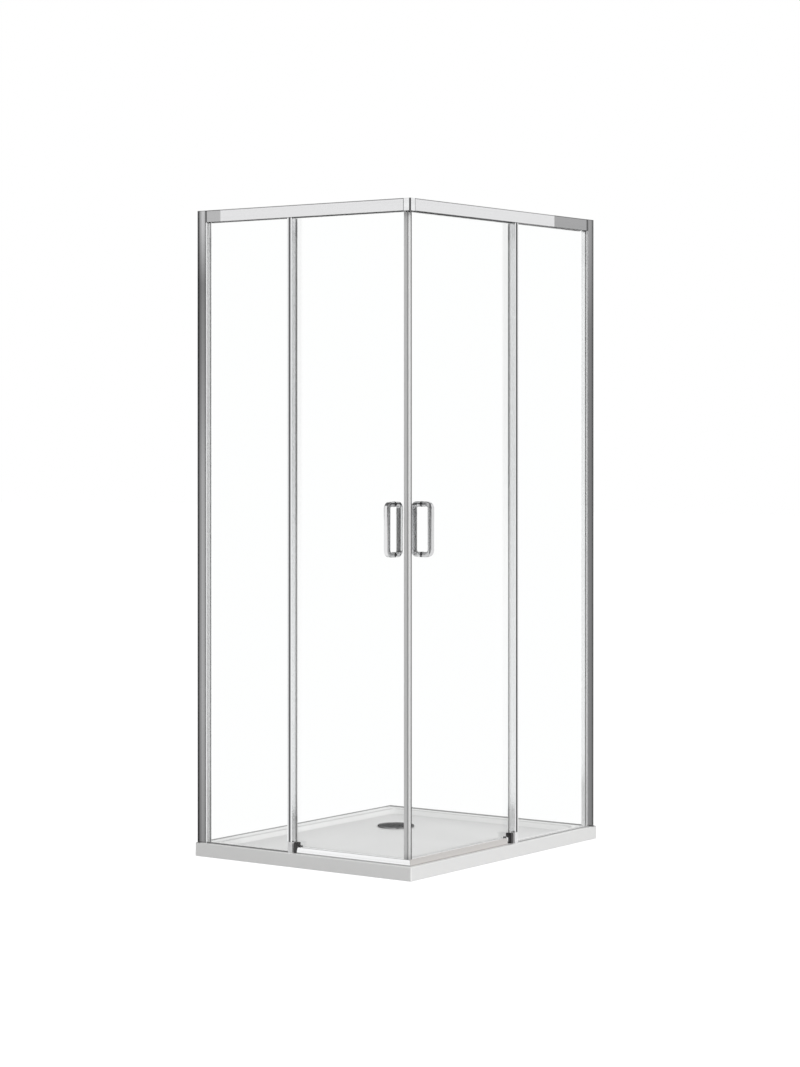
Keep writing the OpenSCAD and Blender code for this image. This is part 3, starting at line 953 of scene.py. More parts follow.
    def piece(
        self, node: str, name: str, finish: Finish, slot: Slot, body: str = Body.FRAME.value
    ) -> None:
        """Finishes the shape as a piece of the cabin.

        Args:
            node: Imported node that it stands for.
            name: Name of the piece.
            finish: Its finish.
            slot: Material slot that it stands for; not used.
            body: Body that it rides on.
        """
        mesh = bpy.data.meshes.new(name)
        self.bm.to_mesh(mesh)
        self.bm.free()
        mesh.materials.append(FINISHES.material(finish))
        mesh.shade_smooth()
        mesh.set_sharp_from_angle(angle=SMOOTH_ANGLE)
        made = bpy.data.objects.new(name, mesh)
        bpy.context.scene.collection.objects.link(made)
        even = made.modifiers.new("even_normals", "WEIGHTED_NORMAL")
        even.keep_sharp = True
        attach(made, body)
        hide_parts(node)
        LOG.info("%s: %d faces on %s", name, len(mesh.polygons), body)


def soften_node(
    node: str, name: str, finish: Finish, slot: Slot, body: str = Body.FRAME.value,
    radius: float = EDGE,
) -> None:
    """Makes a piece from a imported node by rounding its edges.

    Args:
        node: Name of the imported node.
        name: Name of the piece.
        finish: Its finish.
        slot: Material slot that it stands for.
        body: Body that it rides on.
        radius: Width of the rounding.
    """
    shape = Shape.of_node(node)
    shape.soften(radius)
    shape.piece(node, name, finish, slot, body)


def dress_node(node: str, finish: Finish) -> None:
    """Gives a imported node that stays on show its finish.

    Args:
        node: Name of the node.
        finish: Its finish.
    """
    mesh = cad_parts[node].data
    mesh.materials.clear()
    mesh.materials.append(FINISHES.material(finish))
    LOG.info("%s: packed shape kept", node)


# The runs


@dataclass(frozen=True)
class Grip:
    """Look of one chrome bow: its tone, gloss, and the faces of its bar that carry painted dark
    reflections.

    Its tone is a painted reflection level that differs from bow to bow. The stretches are start,
    end and factor, across the run and along it.
    """

    tone: float
    roughness: Span = (0.03, 0.08)
    across: Stretch | None = None
    along: Stretch | None = None


@dataclass(frozen=True)
class RunLook:
    """Painted light and shade of one run.

    Its tones differ from the other run's because each run faces the light another way: they are
    lit and shaded copies of the same finishes, with painted shade, shadow and reflection bands.
    """

    # closing seal's painted tone, per run
    seal_tone: float
    seal_band: Stretch          # painted shade band along the run, on the closing seal
    grips: tuple[Grip, Grip]    # outer and inner
    strip: Finish               # dark strip along the edge profile, in a finish per run that is painted light and shade
    # glazing gasket's painted tone, per run
    gasket_tone: float
    lip_tone: float             # painted shade factor on the gasket's lip
    groove_tone: float          # painted shade factor in the groove of the adjusting profile
    # sill strip's painted tone, per run
    sill_tone: float
    # water bar's colour, painted darker on the shaded run
    bar_colour: Colour
    bar_foot: float             # painted shadow factor on the foot of the water bar
    rail_dark: float            # tone of the painted dark reflection at the rail's end
    rail_shadow_line_end: float       # distances from the wall at which its painted shadow line and painted dark reflection stop
    rail_dark_end: float
    wall_tones: Stops           # painted dark reflection of the wall, by distance from the wall; the last is the matt end's
    wall_gains: Stops           # painted reflection, by height


@dataclass(frozen=True)
class Run:
    """One run of the enclosure, and the way from its own frame to the cabin's."""

    side: Side
    length: float
    fixed_width: float
    handle_x: float
    look: RunLook
    tray: Span = (0.8, 1.0)
    inset: float = 0.012

    @property
    def along(self) -> Axis:
        """Direction of the run in the cabin."""
        return Axis.X if self.side is Side.LEFT else Axis.Y

    @property
    def inward(self) -> Axis:
        """Direction across the run in the cabin."""
        return Axis.Y if self.side is Side.LEFT else Axis.X

    @property
    def matrix(self) -> Matrix:
        """Transform from the run's frame to the cabin's.

        Returns:
            The transform.
        """
        half_x, half_y = self.tray[0] / 2, self.tray[1] / 2
        if self.side is Side.LEFT:
            return Matrix.Translation((-half_x, self.inset - half_y, 0))
        turn = Matrix(((0, -1, 0, 0), (-1, 0, 0, 0), (0, 0, 1, 0), (0, 0, 0, 1)))
        return Matrix.Translation((half_x - self.inset, half_y, 0)) @ turn

    @property
    def across(self) -> Vector:
        """Direction inward, as a vector of the cabin."""
        return self.matrix.to_3x3() @ Vector((0, 1, 0))

    def at(self, x: float) -> float:
        """Cabin coordinate, on the run's axis, of a distance from the wall."""
        return (self.matrix @ Vector((x, 0, 0)))[self.along.value]

    def deep(self, u: float) -> float:
        """Cabin coordinate, across the run, of a depth inward from its outer face."""
        return (self.matrix @ Vector((0, u, 0)))[self.inward.value]

    def signed(self, distance: float) -> float:
        """Gives a distance the sign of the way from the wall to the corner."""
        return math.copysign(distance, self.at(1) - self.at(0))

    def band_along(self, start: float, end: float, factor: float) -> Band:
        """Returns a stretch between two distances from the wall."""
        return Band(self.along, self.at(start), self.at(end), factor)

    def band_across(self, start: float, end: float, factor: float) -> Band:
        """Returns a stretch between two depths from the outer face."""
        return Band(self.inward, self.deep(start), self.deep(end), factor)


@dataclass
class RunPart:
    """A sub-assembly of one run. Its nodes, pieces and finishes are named without their side."""

    run: Run

    @property
    def body(self) -> str:
        """Body that its pieces ride on."""
        return Body.FRAME.value

    def name(self, short: str) -> str:
        """Full name of a node, piece or finish."""
        return self.run.side.node(short)

    def make(self, shape: Shape, node: str, piece: str, finish: Finish, slot: Slot) -> None:
        """Finishes a shape as the piece that stands for a node."""
        shape.piece(self.name(node), self.name(piece), finish, slot, self.body)

    def soften(
        self, node: str, piece: str, finish: Finish, slot: Slot, radius: float = EDGE
    ) -> None:
        """Makes a piece from its node by rounding its edges."""
        soften_node(self.name(node), self.name(piece), finish, slot, self.body, radius)

    def dress_nodes(self, finish: Finish, *nodes: str) -> None:
        """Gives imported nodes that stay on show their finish."""
        for node in nodes:
            dress_node(self.name(node), finish)

    def build_pane(self, node: str, piece: str, room: float = 0.0001, edge: float = 0.0007) -> None:
        """Makes a pane, with ground edges and a hair of room in its channels.

        Args:
            node: Its node.
            piece: Its name.
            room: Room on every side.
            edge: Width of the ground edge.
        """
        shape = Shape.of_node(self.name(node))
        shape.slim(room)
        shape.soften(edge)
        self.make(shape, node, piece, Finishes.glass, Slot.GLASS)


# Sub-assemblies


@dataclass
class Tray:
    """The cast tray: a flat rim, a shallow basin that falls to the waste, and the waste hole."""

    width: float = 0.8
    depth: float = 1.0
    height: float = 0.04
    corner: float = 0.005
    rim: float = 0.05
    slope: float = 0.01
    basin_depth: float = 0.018
    fall: float = 0.005
    basin_corner: float = 0.031
    floor_corner: float = 0.03
    waste: Span = WASTE_PLACE
    recess_edge: float = 0.0645
    recess: float = 0.057
    hole: float = 0.045
    below: float = 0.07
    seat_z: float = 0.013
    below_z: float = 0.004

    def build(self) -> None:
        """Makes the tray from outline to outline, from its foot over the rim and to the waste."""
        shape = Shape()
        outer = RoundRect(self.width, self.depth, self.corner)
        opening = outer.inset(self.rim, self.basin_corner)
        floor = outer.inset(self.rim + self.slope, self.floor_corner)
        floor_z = self.height - self.basin_depth
        low_z = floor_z - self.fall
        foot = shape.ring(outer, segments=10, cuts=23)
        top = shape.grow(foot, levelled(self.height))
        brink = shape.grow(top, fitted(outer, opening, self.height))
        basin = shape.grow(brink, fitted(opening, floor, floor_z))
        rings = [basin]
        for radius, z in (
            (self.recess_edge, low_z), (self.recess, low_z), (self.recess, self.seat_z),
            (self.hole, self.seat_z), (self.hole, self.below_z), (self.below, self.below_z),
            (self.below, 0.0),
        ):
            move = circled(Vector((*self.waste, 0)), radius, z)
            rings.append(shape.grow(rings[-1], move))
        ledge, last = rings[2], rings[-1]
        bmesh.ops.bridge_loops(shape.bm, edges=last + foot)
        shape.face_out()
        for ring, radius, segments in (
            (top, 0.0022, 4), (brink, 0.0045, 5), (basin, 0.006, 5), (foot, 0.001, 2),
            (ledge, 0.0008, 2),
        ):
            shape.bevel(ring, radius, segments)
        shape.piece("shower_tray", "tray_casting", Finishes.tray, Slot.TRAY)


@dataclass
class Waste:
    """The waste: a flange that carries the outlet, its seal, and the cover that lifts off."""

    place: Span = WASTE_PLACE
    radius: float = 0.0565
    low_z: float = 0.017
    outlet: float = 0.038
    spigot_wall: float = 0.005
    spigot_depth: float = 0.013
    plate: float = 0.003
    plate_chamfer: float = 0.0008
    seat: float = 0.05
    seat_depth: float = 0.0018
    cover_z: float = 0.02
    wall: float = 0.0016
    dome: float = 0.005
    skirt: float = 0.0006
    rolled_edge: float = 0.0007
    rings: int = 14
    lug: tuple[float, float, float] = (0.0017, 0.0098, 0.0066)
    lug_radius: float = 0.04885
    lug_depth: float = 0.0017
    lugs: int = 4

    @property
    def centre(self) -> Vector:
        """Point of the waste's axis at height 0."""
        return Vector((*self.place, 0))

    def build(self) -> None:
        """Makes the flange and the cover."""
        inner, outer = self.outlet, self.outlet + self.spigot_wall
        top, foot = self.low_z, self.low_z - self.spigot_depth
        flange = Shape()
        flange.turned(
            [
                (inner, foot), (outer, foot), (outer, top - self.plate),
                (self.radius, top - self.plate), (self.radius, top - self.plate_chamfer),
                (self.radius - self.plate_chamfer, top), (self.seat, top),
                (self.seat, top - self.seat_depth), (inner, top - self.seat_depth),
            ],
            self.centre, UP, steps=72,
        )
        flange.soften(EDGE)
        flange.piece("waste_flange", "waste_ring", Finishes.steel, Slot.WASTE_METAL)
        self.build_cover()

    def rise(self, share: float) -> float:
        """Height of the dome over its edge, at a share of its radius."""
        return self.dome * (1 - share * share)

    def build_cover(self) -> None:
        """Makes the domed cover with its rolled edge and the lugs that centre it."""
        cover = Shape()
        shares = [i / self.rings for i in range(self.rings + 1)]
        skirt_z = self.cover_z - self.skirt
        inner = self.radius - self.wall
        outline = [(self.radius * s, self.cover_z + self.wall + self.rise(s)) for s in shares]
        outline += [(self.radius, skirt_z), (inner, skirt_z)]
        outline += [(inner * s, self.cover_z + self.rise(s)) for s in reversed(shares)]
        cover.turned(outline, self.centre, UP, steps=96)
        cover.soften(self.rolled_edge, segments=3)
        self.add_lugs(cover)
        cover.piece(
            "waste_cover", "waste_dome", Finishes.waste_chrome, Slot.WASTE_METAL,
            Body.WASTE_COVER.value,
        )

    def add_lugs(self, cover: Shape) -> None:
        """Adds the lugs under the cover.

        Args:
            cover: Shape of the cover.
        """
        size = Vector(self.lug)
        out = Vector((self.lug_radius, 0, self.low_z - self.lug_depth + size.z / 2))
        for i in range(self.lugs):
            turn = Matrix.Rotation(TURN * (i + 0.5) / self.lugs, 4, "Z")
            place = Matrix.Translation(self.centre) @ turn @ Matrix.Translation(out)
            block = place @ Matrix.Diagonal((*size, 1.0))
            bmesh.ops.create_cube(cover.bm, size=1.0, matrix=block)

    def dress(self) -> None:
        """Gives the rubber seal its finish."""
        dress_node("waste_seal", Finishes.rubber)


@dataclass
class FixedFrame(RunPart):
    """What stays in place on one run: profiles, rail, fixed glass, threshold and guide."""

    top: float = 1.94
    rail_height: float = 0.036
    groove: Span = (0.017, 0.0243)                      # depths of the adjusting profile's groove, painted darker as shade
    gasket_lip: Span = (0.0103, 0.0127)                 # depths of the gasket's lip, painted darker as shade
    bar_foot: Span = (0.0395, 0.0428)                   # heights of the painted shadow at the water bar's foot
    sill_lip: Stretch = (0.0417, 0.044, 2.6)            # painted highlight on the lip of the strip under the glass
    channel_top: Stretch = (-0.0015, 0.001, 0.4)        # painted shade at the wall channel's top edge, from the top
    channel_end: Span = (0.0297, 0.031)                 # its matt end, from the wall, which shows the painted shadow line
    channel_reach: float = 0.04
    rail_reach: float = 0.3
    rail_bright: float = 0.78
    rail_shadow_line: Span = (0.03, 0.12)                     # start of the painted shadow line at the rail's end, and its tone
    rail_fades: Span = (0.0008, 0.004)                  # fades from the painted shadow line, and from the painted dark reflection at the end
    rail_foot: Stretch = (-0.001, 0.0009, 0.16)         # painted shade on its lower lip, from its underside
    rail_crown: Stretch = (-0.0026, 0.001, 0.38)        # painted dark reflection on its upper lip, from the top
    rail_edge: float = 0.0012                           # rounding of the edges of its face
    track_edge: float = 0.0003                          # and of its other edges below the crown
    crown_height: float = 0.003
    cap_place: Span = (0.014, 0.028)
    cap_heights: tuple[float, ...] = (0.19, 0.99, 1.75)
    cap_outline: Stops = (
        (0.0044, 0.0), (0.0065, 0.0), (0.0065, 0.002), (0.0061, 0.0029), (0.0053, 0.0035),
        (0.0035, 0.0038), (0.0, 0.0039), (0.0, 0.0028), (0.0044, 0.0026),
    )

    def build(self) -> None:
        """Makes the pieces of the frame."""
        run, look = self.run, self.run.look
        # painted shade in the groove of the adjusting profile
        grooved = DrawnMetal(
            self.name("polished_inner"), Finishes.upright.colour, Axis.Z,
            bands=(run.band_across(*self.groove, look.groove_tone),),
        )
        # sill strip in a painted tone per run, with a painted highlight on its lip
        sill = Moulded(
            self.name("sill_rubber"), (look.sill_tone,) * 3, (0.4, 0.55),
            bands=(Band(Axis.Z, *self.sill_lip),),
        )
        # water bar in a painted colour per run, with painted shadow at its foot
        bar = DrawnMetal(
            self.name("polished_bar"), look.bar_colour, run.along,
            bands=(Band(Axis.Z, *self.bar_foot, look.bar_foot),),
        )
        plate = DrawnMetal(self.name("polished_plate"), (0.84, 0.845, 0.85), run.along)
        for node, piece, finish, slot, radius in (
            ("wall_profile", "wall_channel", self.channel_metal(), Slot.WALL_PROFILE, 0.0007),
            ("adjusting_profile", "adjusting_channel", grooved, Slot.PROFILE, EDGE),
            ("edge_profile", "edge_stile", Finishes.upright, Slot.PROFILE, EDGE),
            ("edge_gasket", "edge_strip", look.strip, Slot.DARK_RUBBER, 0.0003),
            ("profile_foot", "stile_foot", Finishes.light_plastic, Slot.GREY_PLASTIC, 0.0006),
            ("fixed_bottom_seal", "sill_strip", sill, Slot.DARK_RUBBER, 0.0006),
            ("threshold", "water_bar", bar, Slot.PROFILE, 0.0005),
            ("door_guide", "floor_guide", Finishes.dark_plastic, Slot.DARK_PLASTIC, 0.0005),
            ("corner_cover", "corner_plate", plate, Slot.RAIL, EDGE),
            ("rail_end_block", "rail_block", Finishes.grey_plastic, Slot.GREY_PLASTIC, EDGE),
            ("door_stops", "stop_blocks", Finishes.rubber, Slot.DARK_RUBBER, 0.0008),
        ):
            self.soften(node, piece, finish, slot, radius)
        self.build_rail()
        self.build_caps()
        self.build_pane("fixed_glass", "fixed_pane")

    def channel_metal(self) -> BandedMetal:
        """Sets the wall channel's finish, a painted reflection dark at the wall and lighter towards
        the glass, with painted shade at its top and a painted shadow line on its matt end.

        Returns:
            The finish.
        """
        run, look = self.run, self.run.look
        start, end, factor = self.channel_top
        return BandedMetal(
            self.name("dark_polished"), drawn=Axis.Z, across=run.along, wall_at=run.at(0),
            reach=run.signed(self.channel_reach), tones=look.wall_tones, gains=look.wall_gains,
            bands=(Band(Axis.Z, self.top + start, self.top + end, factor),),
            roughness=(0.12, 0.24), cut_end=run.band_along(*self.channel_end, 1.0),
        )

    def rail_metal(self) -> BandedMetal:
        """Sets the rail's finish, with painted shade on its lips, and a painted shadow line and a
        painted dark reflection at its end by the wall.

        Returns:
            The finish.
        """
        run, look = self.run, self.run.look
        (shadow_line_start, shadow_line_tone), (from_shadow_line, from_dark) = self.rail_shadow_line, self.rail_fades
        tones = (
            (shadow_line_start, shadow_line_tone), (look.rail_shadow_line_end, shadow_line_tone),
            (look.rail_shadow_line_end + from_shadow_line, look.rail_dark),
            (look.rail_dark_end, look.rail_dark),
            (look.rail_dark_end + from_dark, self.rail_bright),
            (self.rail_reach, self.rail_bright),
        )
        lips = tuple(
            Band(Axis.Z, level + start, level + end, factor)
            for level, (start, end, factor) in (
                (self.top - self.rail_height, self.rail_foot), (self.top, self.rail_crown),
            )
        )
        return BandedMetal(
            self.name("rail_metal"), drawn=run.along, across=run.along, wall_at=run.at(0),
            reach=run.signed(self.rail_reach), tones=tones, bands=lips,
        )

    def build_rail(self) -> None:
        """Makes the rail, with wide roundings on the two edges of its face."""
        axis, face, near = self.run.inward.value, self.run.deep(0), 1e-4
        shape = Shape.of_node(self.name("top_rail"))
        lo, hi = shape.box()

        def on_face_edge(point: Vector) -> bool:
            """Tells whether a point is on the upper or lower edge of the rail's face."""
            on_face = abs(point[axis] - face) < near
            return on_face and min(point.z - lo.z, hi.z - point.z) < near

        shape.soften(self.rail_edge, 4, on_face_edge)
        shape.soften(
            self.track_edge, 1, lambda p: hi.z - p.z > self.crown_height and not on_face_edge(p)
        )
        self.make(shape, "top_rail", "track_rail", self.rail_metal(), Slot.RAIL)

    def build_caps(self) -> None:
        """Makes the domed caps over the side screws."""
        shape = Shape()
        for z in self.cap_heights:
            cap = Shape()
            place = self.run.matrix @ Vector((*self.cap_place, z))
            cap.turned(self.cap_outline, place, self.run.across, steps=32)
            shape.take_in(cap)
        self.make(shape, "side_screw_caps", "screw_covers", Finishes.grey_plastic, Slot.PROFILE)

    def dress(self) -> None:
        """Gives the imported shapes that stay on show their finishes."""
        run, look = self.run, self.run.look
        # glazing gasket in a painted tone per run, with painted shade on its lip
        gasket = SoftClear(
            self.name("pale_gasket"), (look.gasket_tone,) * 3, Axis.Z, 0.0,
            (run.band_across(*self.gasket_lip, look.lip_tone),),
        )
        self.dress_nodes(gasket, "glazing_gasket")
        self.dress_nodes(Finishes.steel, "side_screws")


class EntryCorner:
    """The block that joins the two rails, and the screws of the block and the guides."""

    def build(self) -> None:
        """Makes the corner block."""
        soften_node("corner_connector", "corner_block", Finishes.dark_plastic, Slot.DARK_PLASTIC)

    def dress(self) -> None:
        """Gives the screws their finish."""
        dress_node("frame_screws", Finishes.steel)


@dataclass
class HandlePair(RunPart):
    """The two chrome bows of a door, back to back through the glass."""

    centre_z: float = 0.995
    pitch: float = 0.145
    bar: float = 0.015
    bar_corner: float = 0.0032
    bend: float = 0.013
    bend_steps: int = 14
    rise: float = 0.0275
    foot_edge: float = 0.0006
    outer_foot: float = 0.023
    inner_foot: float = 0.031

    @property
    def body(self) -> str:
        """Body that its pieces ride on."""
        return self.name("door")

    def bow(self) -> Shape:
        """Makes one bow with its feet on u = 0 and its grip at u = rise, along z.

        Returns:
            The bow's shape, about its own centre.
        """
        shape = Shape()
        half, leg = self.pitch / 2, self.rise - self.bend
        ring = shape.ring(RoundRect(self.bar, self.bar, self.bar_corner), segments=6, cuts=0)
        stand = Matrix.Translation((0, 0, half)) @ Matrix.Rotation(-math.pi / 2, 4, "X")
        bmesh.ops.transform(shape.bm, matrix=stand, verts=shape.bm.verts[:])
        feet = bmesh.ops.contextual_create(shape.bm, geom=ring)["faces"]
        ring = shape.grow(ring, lambda p: p + Vector((0, leg, 0)))
        ring = self.turn(shape, ring, Vector((0, leg, half - self.bend)))
        straight = self.pitch - 2 * self.bend
        ring = shape.grow(ring, lambda p: p - Vector((0, 0, straight)))
        ring = self.turn(shape, ring, Vector((0, leg, self.bend - half)))
        ring = shape.grow(ring, lambda p: p - Vector((0, leg, 0)))
        feet += bmesh.ops.contextual_create(shape.bm, geom=ring)["faces"]
        shape.face_out()
        shape.bevel({e for f in feet for e in f.edges}, self.foot_edge, segments=2)
        return shape

    def turn(self, shape: Shape, ring: Edges, centre: Vector) -> Edges:
        """Carries the bar's outline round a quarter bend.

        Args:
            shape: Shape to work on.
            ring: Outline's edges.
            centre: Centre of the bend.

        Returns:
            The outline's edges after the bend.
        """
        verts = list({v for e in ring for v in e.verts})
        made = bmesh.ops.spin(
            shape.bm, geom=verts + ring, cent=centre, axis=Vector((-1, 0, 0)),
            angle=math.pi / 2, steps=self.bend_steps, use_merge=False,
            use_normal_flip=False, use_duplicate=False,
        )["geom_last"]
        return [g for g in made if isinstance(g, bmesh.types.BMEdge)]

    def build(self) -> None:
        """Makes both bows of the door."""
        outer, inner = self.run.look.grips
        flip = Matrix.Scale(-1, 4, Vector((0, 1, 0)))
        for which, foot, facing, grip in (
            ("outer", self.outer_foot, flip, outer),
            ("inner", self.inner_foot, Matrix.Identity(4), inner),
        ):
            shape = self.bow()
            spot = Matrix.Translation((self.run.handle_x, foot, self.centre_z))
            shape.place(self.run.matrix @ spot @ facing)
            chrome = self.chrome(f"{which}_chrome", grip)
            self.make(shape, f"{which}_handle", f"{which}_grip", chrome, Slot.CHROME)

    def chrome(self, name: str, grip: Grip) -> Chrome:
        """Returns the finish of one bow.

        Args:
            name: Name of the finish.
            grip: Look of the bow.

        Returns:
            The finish.
        """
        # painted dark reflections on faces of the bar
        bands = []
        if grip.across:
            bands.append(self.run.band_across(*grip.across))
        if grip.along:
            bands.append(self.run.band_along(*grip.along))
        colour = (grip.tone, grip.tone, grip.tone * 1.01)
        return Chrome(self.name(name), colour, grip.roughness, bands=tuple(bands))

    def dress(self) -> None:
        """Gives the studs and bushes their finish."""
        self.dress_nodes(Finishes.rubber, "handle_fixings")


@dataclass
class Roller(RunPart):
    """A grooved roller on its bearing, which turns on a pin of the door."""

    which: str
    x: float
    z: float = 1.9199
    face: float = 0.032
    width: float = 0.005
    radius: float = 0.013
    groove: float = 0.0116
    groove_width: float = 0.0024
    bearing: float = 0.008
    bore: float = 0.00305
    groove_slope: float = 0.0002
    tyre_edge: Span = (0.0005, 0.0004)      # its chamfer, off the radius and along the axis
    shield: Span = (0.0044, 0.0068)         # radii of the ring between the bearing's races
    sunk: Span = (0.0002, 0.0006)           # how deep the races and the shield lie

    @property
    def body(self) -> str:
        """Body that it is, on its own."""
        return self.name(f"{self.which}_roller_body")

    def build(self) -> None:
        """Makes the tyre and its bearing as one turned piece."""
        centre = self.run.matrix @ Vector((self.x, self.face, self.z))
        (inner, outer), (race, shield), (off, chamfer) = self.shield, self.sunk, self.tyre_edge
        edge = (self.width - self.groove_width) / 2
        half = [
            (self.bore, race), (inner, race), (inner, shield), (outer, shield), (outer, race),
            (self.bearing, 0.0), (self.radius - off, 0.0), (self.radius, chamfer),
            (self.radius, edge - self.groove_slope), (self.groove, edge),
        ]
        outline = half + [(r, self.width - h) for r, h in reversed(half)]
        shape = Shape()
        shape.turned(outline, centre, self.run.across, steps=48)
        self.make(
            shape, f"{self.which}_roller", f"{self.which}_wheel", Finishes.roller, Slot.ROLLER
        )


@dataclass
class SlidingDoor(RunPart):
    """One sliding door: glass, rear profile, seals, handles and rollers."""

    front_roller_in: float = 0.06
    rear_roller_in: float = 0.055
    mitre_room: float = 0.032       # from the corner back to the glass
    overlap: float = 0.005          # of the glass over the fixed panel

    @property
    def body(self) -> str:
        """Body that its pieces ride on."""
        return self.name("door")

    def build(self) -> None:
        """Makes the door's pieces and what it carries."""
        run, look = self.run, self.run.look
        # closing seal in a painted tone per run, with a painted shade band
        closing = SoftClear(
            self.name("soft_clear_closing"), (look.seal_tone,) * 3, Axis.Z, 0.15,
            (run.band_along(*look.seal_band),),
        )
        self.soften("door_rear_profile", "rear_stile", Finishes.rear, Slot.PROFILE)
        self.soften("magnetic_seal", "closing_seal", closing, Slot.SEAL)
        self.soften("door_bottom_seal", "drip_seal", Finishes.drip_seal, Slot.SEAL, 0.0003)
        self.build_pane("door_glass", "door_pane")
        HandlePair(run).build()
        Roller(run, "front", run.length - self.mitre_room - self.front_roller_in).build()
        Roller(run, "rear", run.fixed_width - self.overlap + self.rear_roller_in).build()

    def dress(self) -> None:
        """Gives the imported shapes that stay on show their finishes."""
        HandlePair(self.run).dress()
        self.dress_nodes(Finishes.rubber, "magnet_strip")
        self.dress_nodes(Finishes.steel, "roller_pins")


# Studio


@dataclass(frozen=True)
class DarkZone:
    """A soft dark part of the surroundings, which gives polished metal its dark lines.

    Its angles are half widths in degrees: no darkness outside the outer one, all of it inside the
    inner one.
    """

    towards: tuple[float, float, float]
    inner: float
    outer: float
    depth: float


@dataclass
class Studio:
    """Pale floor, soft lamp, white surroundings and the camera."""

    floor_size: float = 60.0
    floor_z: float = -0.0006
    floor_glow: float = 0.6
    surroundings: float = 0.585
    dark_zones: tuple[DarkZone, ...] = (
        DarkZone((0.585, -0.811, 0.0), 44, 62, 0.9),
        DarkZone((-1.0, 0.0, 0.0), 28, 44, 0.95),
        DarkZone((0.0, 1.0, 0.0), 18, 30, 0.95),
        DarkZone((0.0, 0.0, 1.0), 42, 60, 0.85),
    )
    key_place: tuple[float, float, float] = (6.5, -1.6, 4.6)
    key_target: tuple[float, float, float] = (0.0, 0.0, 0.6)
    key_size: float = 3.0
    key_watts: float = 225.0
    camera_place: tuple[float, float, float] = (4.790, -6.637, 1.269)
    camera_azimuth: float = 35.82
    focal_length: float = 89.88
    camera_shift: float = -0.0934
    sensor: float = 36.0
    sight: float = 100.0

    def build(self) -> None:
        """Makes the studio."""
        self.build_floor()
        self.build_lamp()
        self.build_world()
        self.build_camera()

    def build_floor(self) -> None:
        """Makes the floor, white to the camera and keeping the cabin's soft shadow."""
        board = NodeBoard.of_material("studio_floor")
        grain = board.spread(board.noise(grains=3.0), *UNIT)
        tone = board.mix(grain, (0.79, 0.79, 0.79), (0.8, 0.8, 0.8))
        diffuse = board.add("ShaderNodeBsdfDiffuse")
        board.join(tone, diffuse.inputs["Color"])
        rays, direct, mirrored = board.seen_rays()
        seen = board.maths("MAXIMUM", rays["Is Camera Ray"], rays["Is Transmission Ray"])
        seen = board.maths("MULTIPLY", seen, direct)
        glow = board.emission()
        board.join(board.maths("MULTIPLY", seen, self.floor_glow), glow.inputs["Strength"])
        both = board.add("ShaderNodeAddShader")
        board.join(diffuse.outputs[0], both.inputs[0])
        board.join(glow.outputs[0], both.inputs[1])
        final = board.blend(board.maths("MULTIPLY", mirrored, direct), both, board.emission())
        bm = bmesh.new()
        bmesh.ops.create_grid(
            bm, x_segments=4, y_segments=4, size=self.floor_size / 2,
            matrix=Matrix.Translation((0, 0, self.floor_z)),
        )
        mesh = bpy.data.meshes.new("studio_floor")
        bm.to_mesh(mesh)
        bm.free()
        mesh.materials.append(board.surface(final))
        floor = bpy.data.objects.new("studio_floor", mesh)
        bpy.context.scene.collection.objects.link(floor)

    def build_lamp(self) -> None:
        """Makes the soft key lamp, high on the right, which isn't seen in glass or metal."""
        light = bpy.data.lights.new("key", "AREA")
        light.shape = "SQUARE"
        light.size = self.key_size
        light.energy = self.key_watts
        lamp = bpy.data.objects.new("key", light)
        lamp.location = self.key_place
        aim = Vector(self.key_target) - Vector(self.key_place)
        lamp.rotation_euler = aim.to_track_quat("-Z", "Y").to_euler()
        lamp.visible_glossy = False
        lamp.visible_transmission = False
        bpy.context.scene.collection.objects.link(lamp)

    def darkness(self, board: NodeBoard, place: Socket, zone: DarkZone) -> Socket:
        """Works out how dark one zone makes a direction.

        Args:
            board: Board of the world.
            place: The direction.
            zone: The zone.

        Returns:
            The darkness, from 0 outside the zone to its depth.
        """
        dot = board.add("ShaderNodeVectorMath", operation="DOT_PRODUCT")
        dot.inputs[1].default_value = Vector(zone.towards).normalized()
        board.join(place, dot.inputs[0])
        source = tuple(math.cos(math.radians(angle)) for angle in (zone.outer, zone.inner))
        fall = board.spread(dot.outputs["Value"], 0.0, zone.depth, source)
        fall.node.interpolation_type = "SMOOTHSTEP"
        return fall

    def build_world(self) -> None:
        """Makes the surroundings: white where seen, plain as light, with dark zones in metal."""
        board = NodeBoard(bpy.data.worlds.new("studio"), "ShaderNodeOutputWorld")
        place = board.add("ShaderNodeTexCoord").outputs["Generated"]
        dark: Socket | float = 0.0
        for zone in self.dark_zones:
            dark = board.maths("MAXIMUM", self.darkness(board, place, zone), dark)
        rays, direct, mirrored = board.seen_rays()
        clear = board.maths("LESS_THAN", rays["Glossy Depth"], 0.5)
        through = board.maths("MULTIPLY", rays["Is Transmission Ray"], clear)
        seen = board.maths("MAXIMUM", rays["Is Camera Ray"], through)
        seen = board.maths("MULTIPLY", seen, direct)
        glossy = board.maths("MULTIPLY", mirrored, direct)
        other = board.maths("SUBTRACT", 1.0, board.maths("MAXIMUM", seen, glossy))
        shown = board.maths("MULTIPLY", glossy, board.maths("SUBTRACT", 1.0, dark))
        strength = board.maths(
            "ADD", board.maths("MULTIPLY", self.surroundings, other),
            board.maths("MAXIMUM", seen, shown),
        )
        back = board.add("ShaderNodeBackground")
        back.inputs["Color"].default_value = (1, 1, 1, 1)
        board.join(strength, back.inputs["Strength"])
        bpy.context.scene.world = board.surface(back)

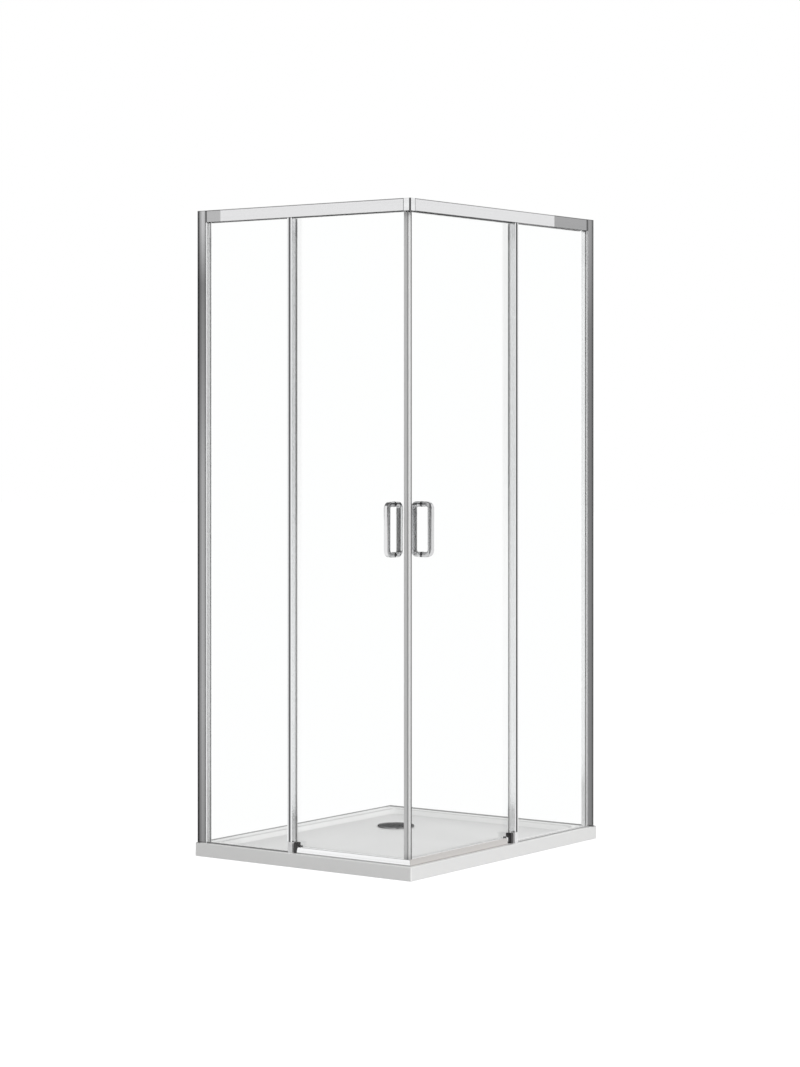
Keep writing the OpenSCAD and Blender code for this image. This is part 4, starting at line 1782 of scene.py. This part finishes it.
    def build_camera(self) -> None:
        """Makes the camera, level, at the photograph's place and frame."""
        data = bpy.data.cameras.new("camera")
        data.lens = self.focal_length
        data.sensor_width = self.sensor
        data.shift_y = self.camera_shift
        data.clip_end = self.sight
        camera = bpy.data.objects.new("camera", data)
        camera.location = self.camera_place
        camera.rotation_euler = (math.pi / 2, 0, math.radians(self.camera_azimuth))
        bpy.context.scene.collection.objects.link(camera)
        bpy.context.scene.camera = camera
        bpy.context.scene.view_settings.view_transform = "Standard"


# The cabin


# Painted light, shade and reflections of the left run.
LEFT_LOOK = RunLook(
    seal_tone=0.8, seal_band=(0.7605, 0.7635, 0.5),
    grips=(Grip(0.8, along=(0.7156, 0.718, 0.62)), Grip(0.66, across=(0.0505, 0.0535, 0.22))),
    strip=Finishes.gasket, gasket_tone=0.92, lip_tone=1.0, groove_tone=0.27, sill_tone=0.14,
    bar_colour=(0.92, 0.925, 0.93), bar_foot=0.45,
    rail_dark=0.48, rail_shadow_line_end=0.036, rail_dark_end=0.087,
    wall_tones=(
        (0.0, 0.03), (0.005, 0.035), (0.0085, 0.12), (0.012, 0.17), (0.02, 0.25), (0.027, 0.22),
        (0.0294, 0.17),
    ),
    wall_gains=(
        (0.04, 1.15), (0.5, 1.65), (1.15, 1.65), (1.5, 1.1), (1.72, 0.95), (1.88, 2.2), (1.94, 2.4),
    ),
)

# Painted light, shade and reflections of the right run.
RIGHT_LOOK = RunLook(
    seal_tone=0.88, seal_band=(0.9465, 0.954, 0.05),
    grips=(
        Grip(0.7, roughness=(0.1, 0.16)),
        Grip(0.78, across=(0.0505, 0.0535, 0.5), along=(0.8845, 0.8992, 0.3)),
    ),
    strip=Finishes.rubber, gasket_tone=0.75, lip_tone=0.45, groove_tone=1.0, sill_tone=0.3,
    bar_colour=(0.6, 0.58, 0.565), bar_foot=0.95,
    rail_dark=0.38, rail_shadow_line_end=0.041, rail_dark_end=0.226,
    wall_tones=(
        (0.0, 0.07), (0.0075, 0.09), (0.0105, 0.18), (0.018, 0.215), (0.0292, 0.22), (0.0296, 0.4),
    ),
    wall_gains=((0.04, 0.95), (1.1, 0.87), (1.6, 0.97), (1.86, 1.5), (1.94, 1.55)),
)

RUNS = (
    Run(Side.LEFT, length=0.788, fixed_width=0.35, handle_x=0.71, look=LEFT_LOOK),
    Run(Side.RIGHT, length=0.988, fixed_width=0.434, handle_x=0.893, look=RIGHT_LOOK),
)


def main() -> None:
    """Builds the cabin's pieces, dresses what is kept and sets up the studio."""
    logging.basicConfig(level=logging.INFO, format="%(name)s: %(message)s")
    Tray().build()
    parts = [Waste()]
    for run in RUNS:
        parts += [FixedFrame(run), SlidingDoor(run)]
    for part in (*parts, EntryCorner()):
        part.build()
        part.dress()
    Studio().build()


if __name__ == "__main__":
    main()
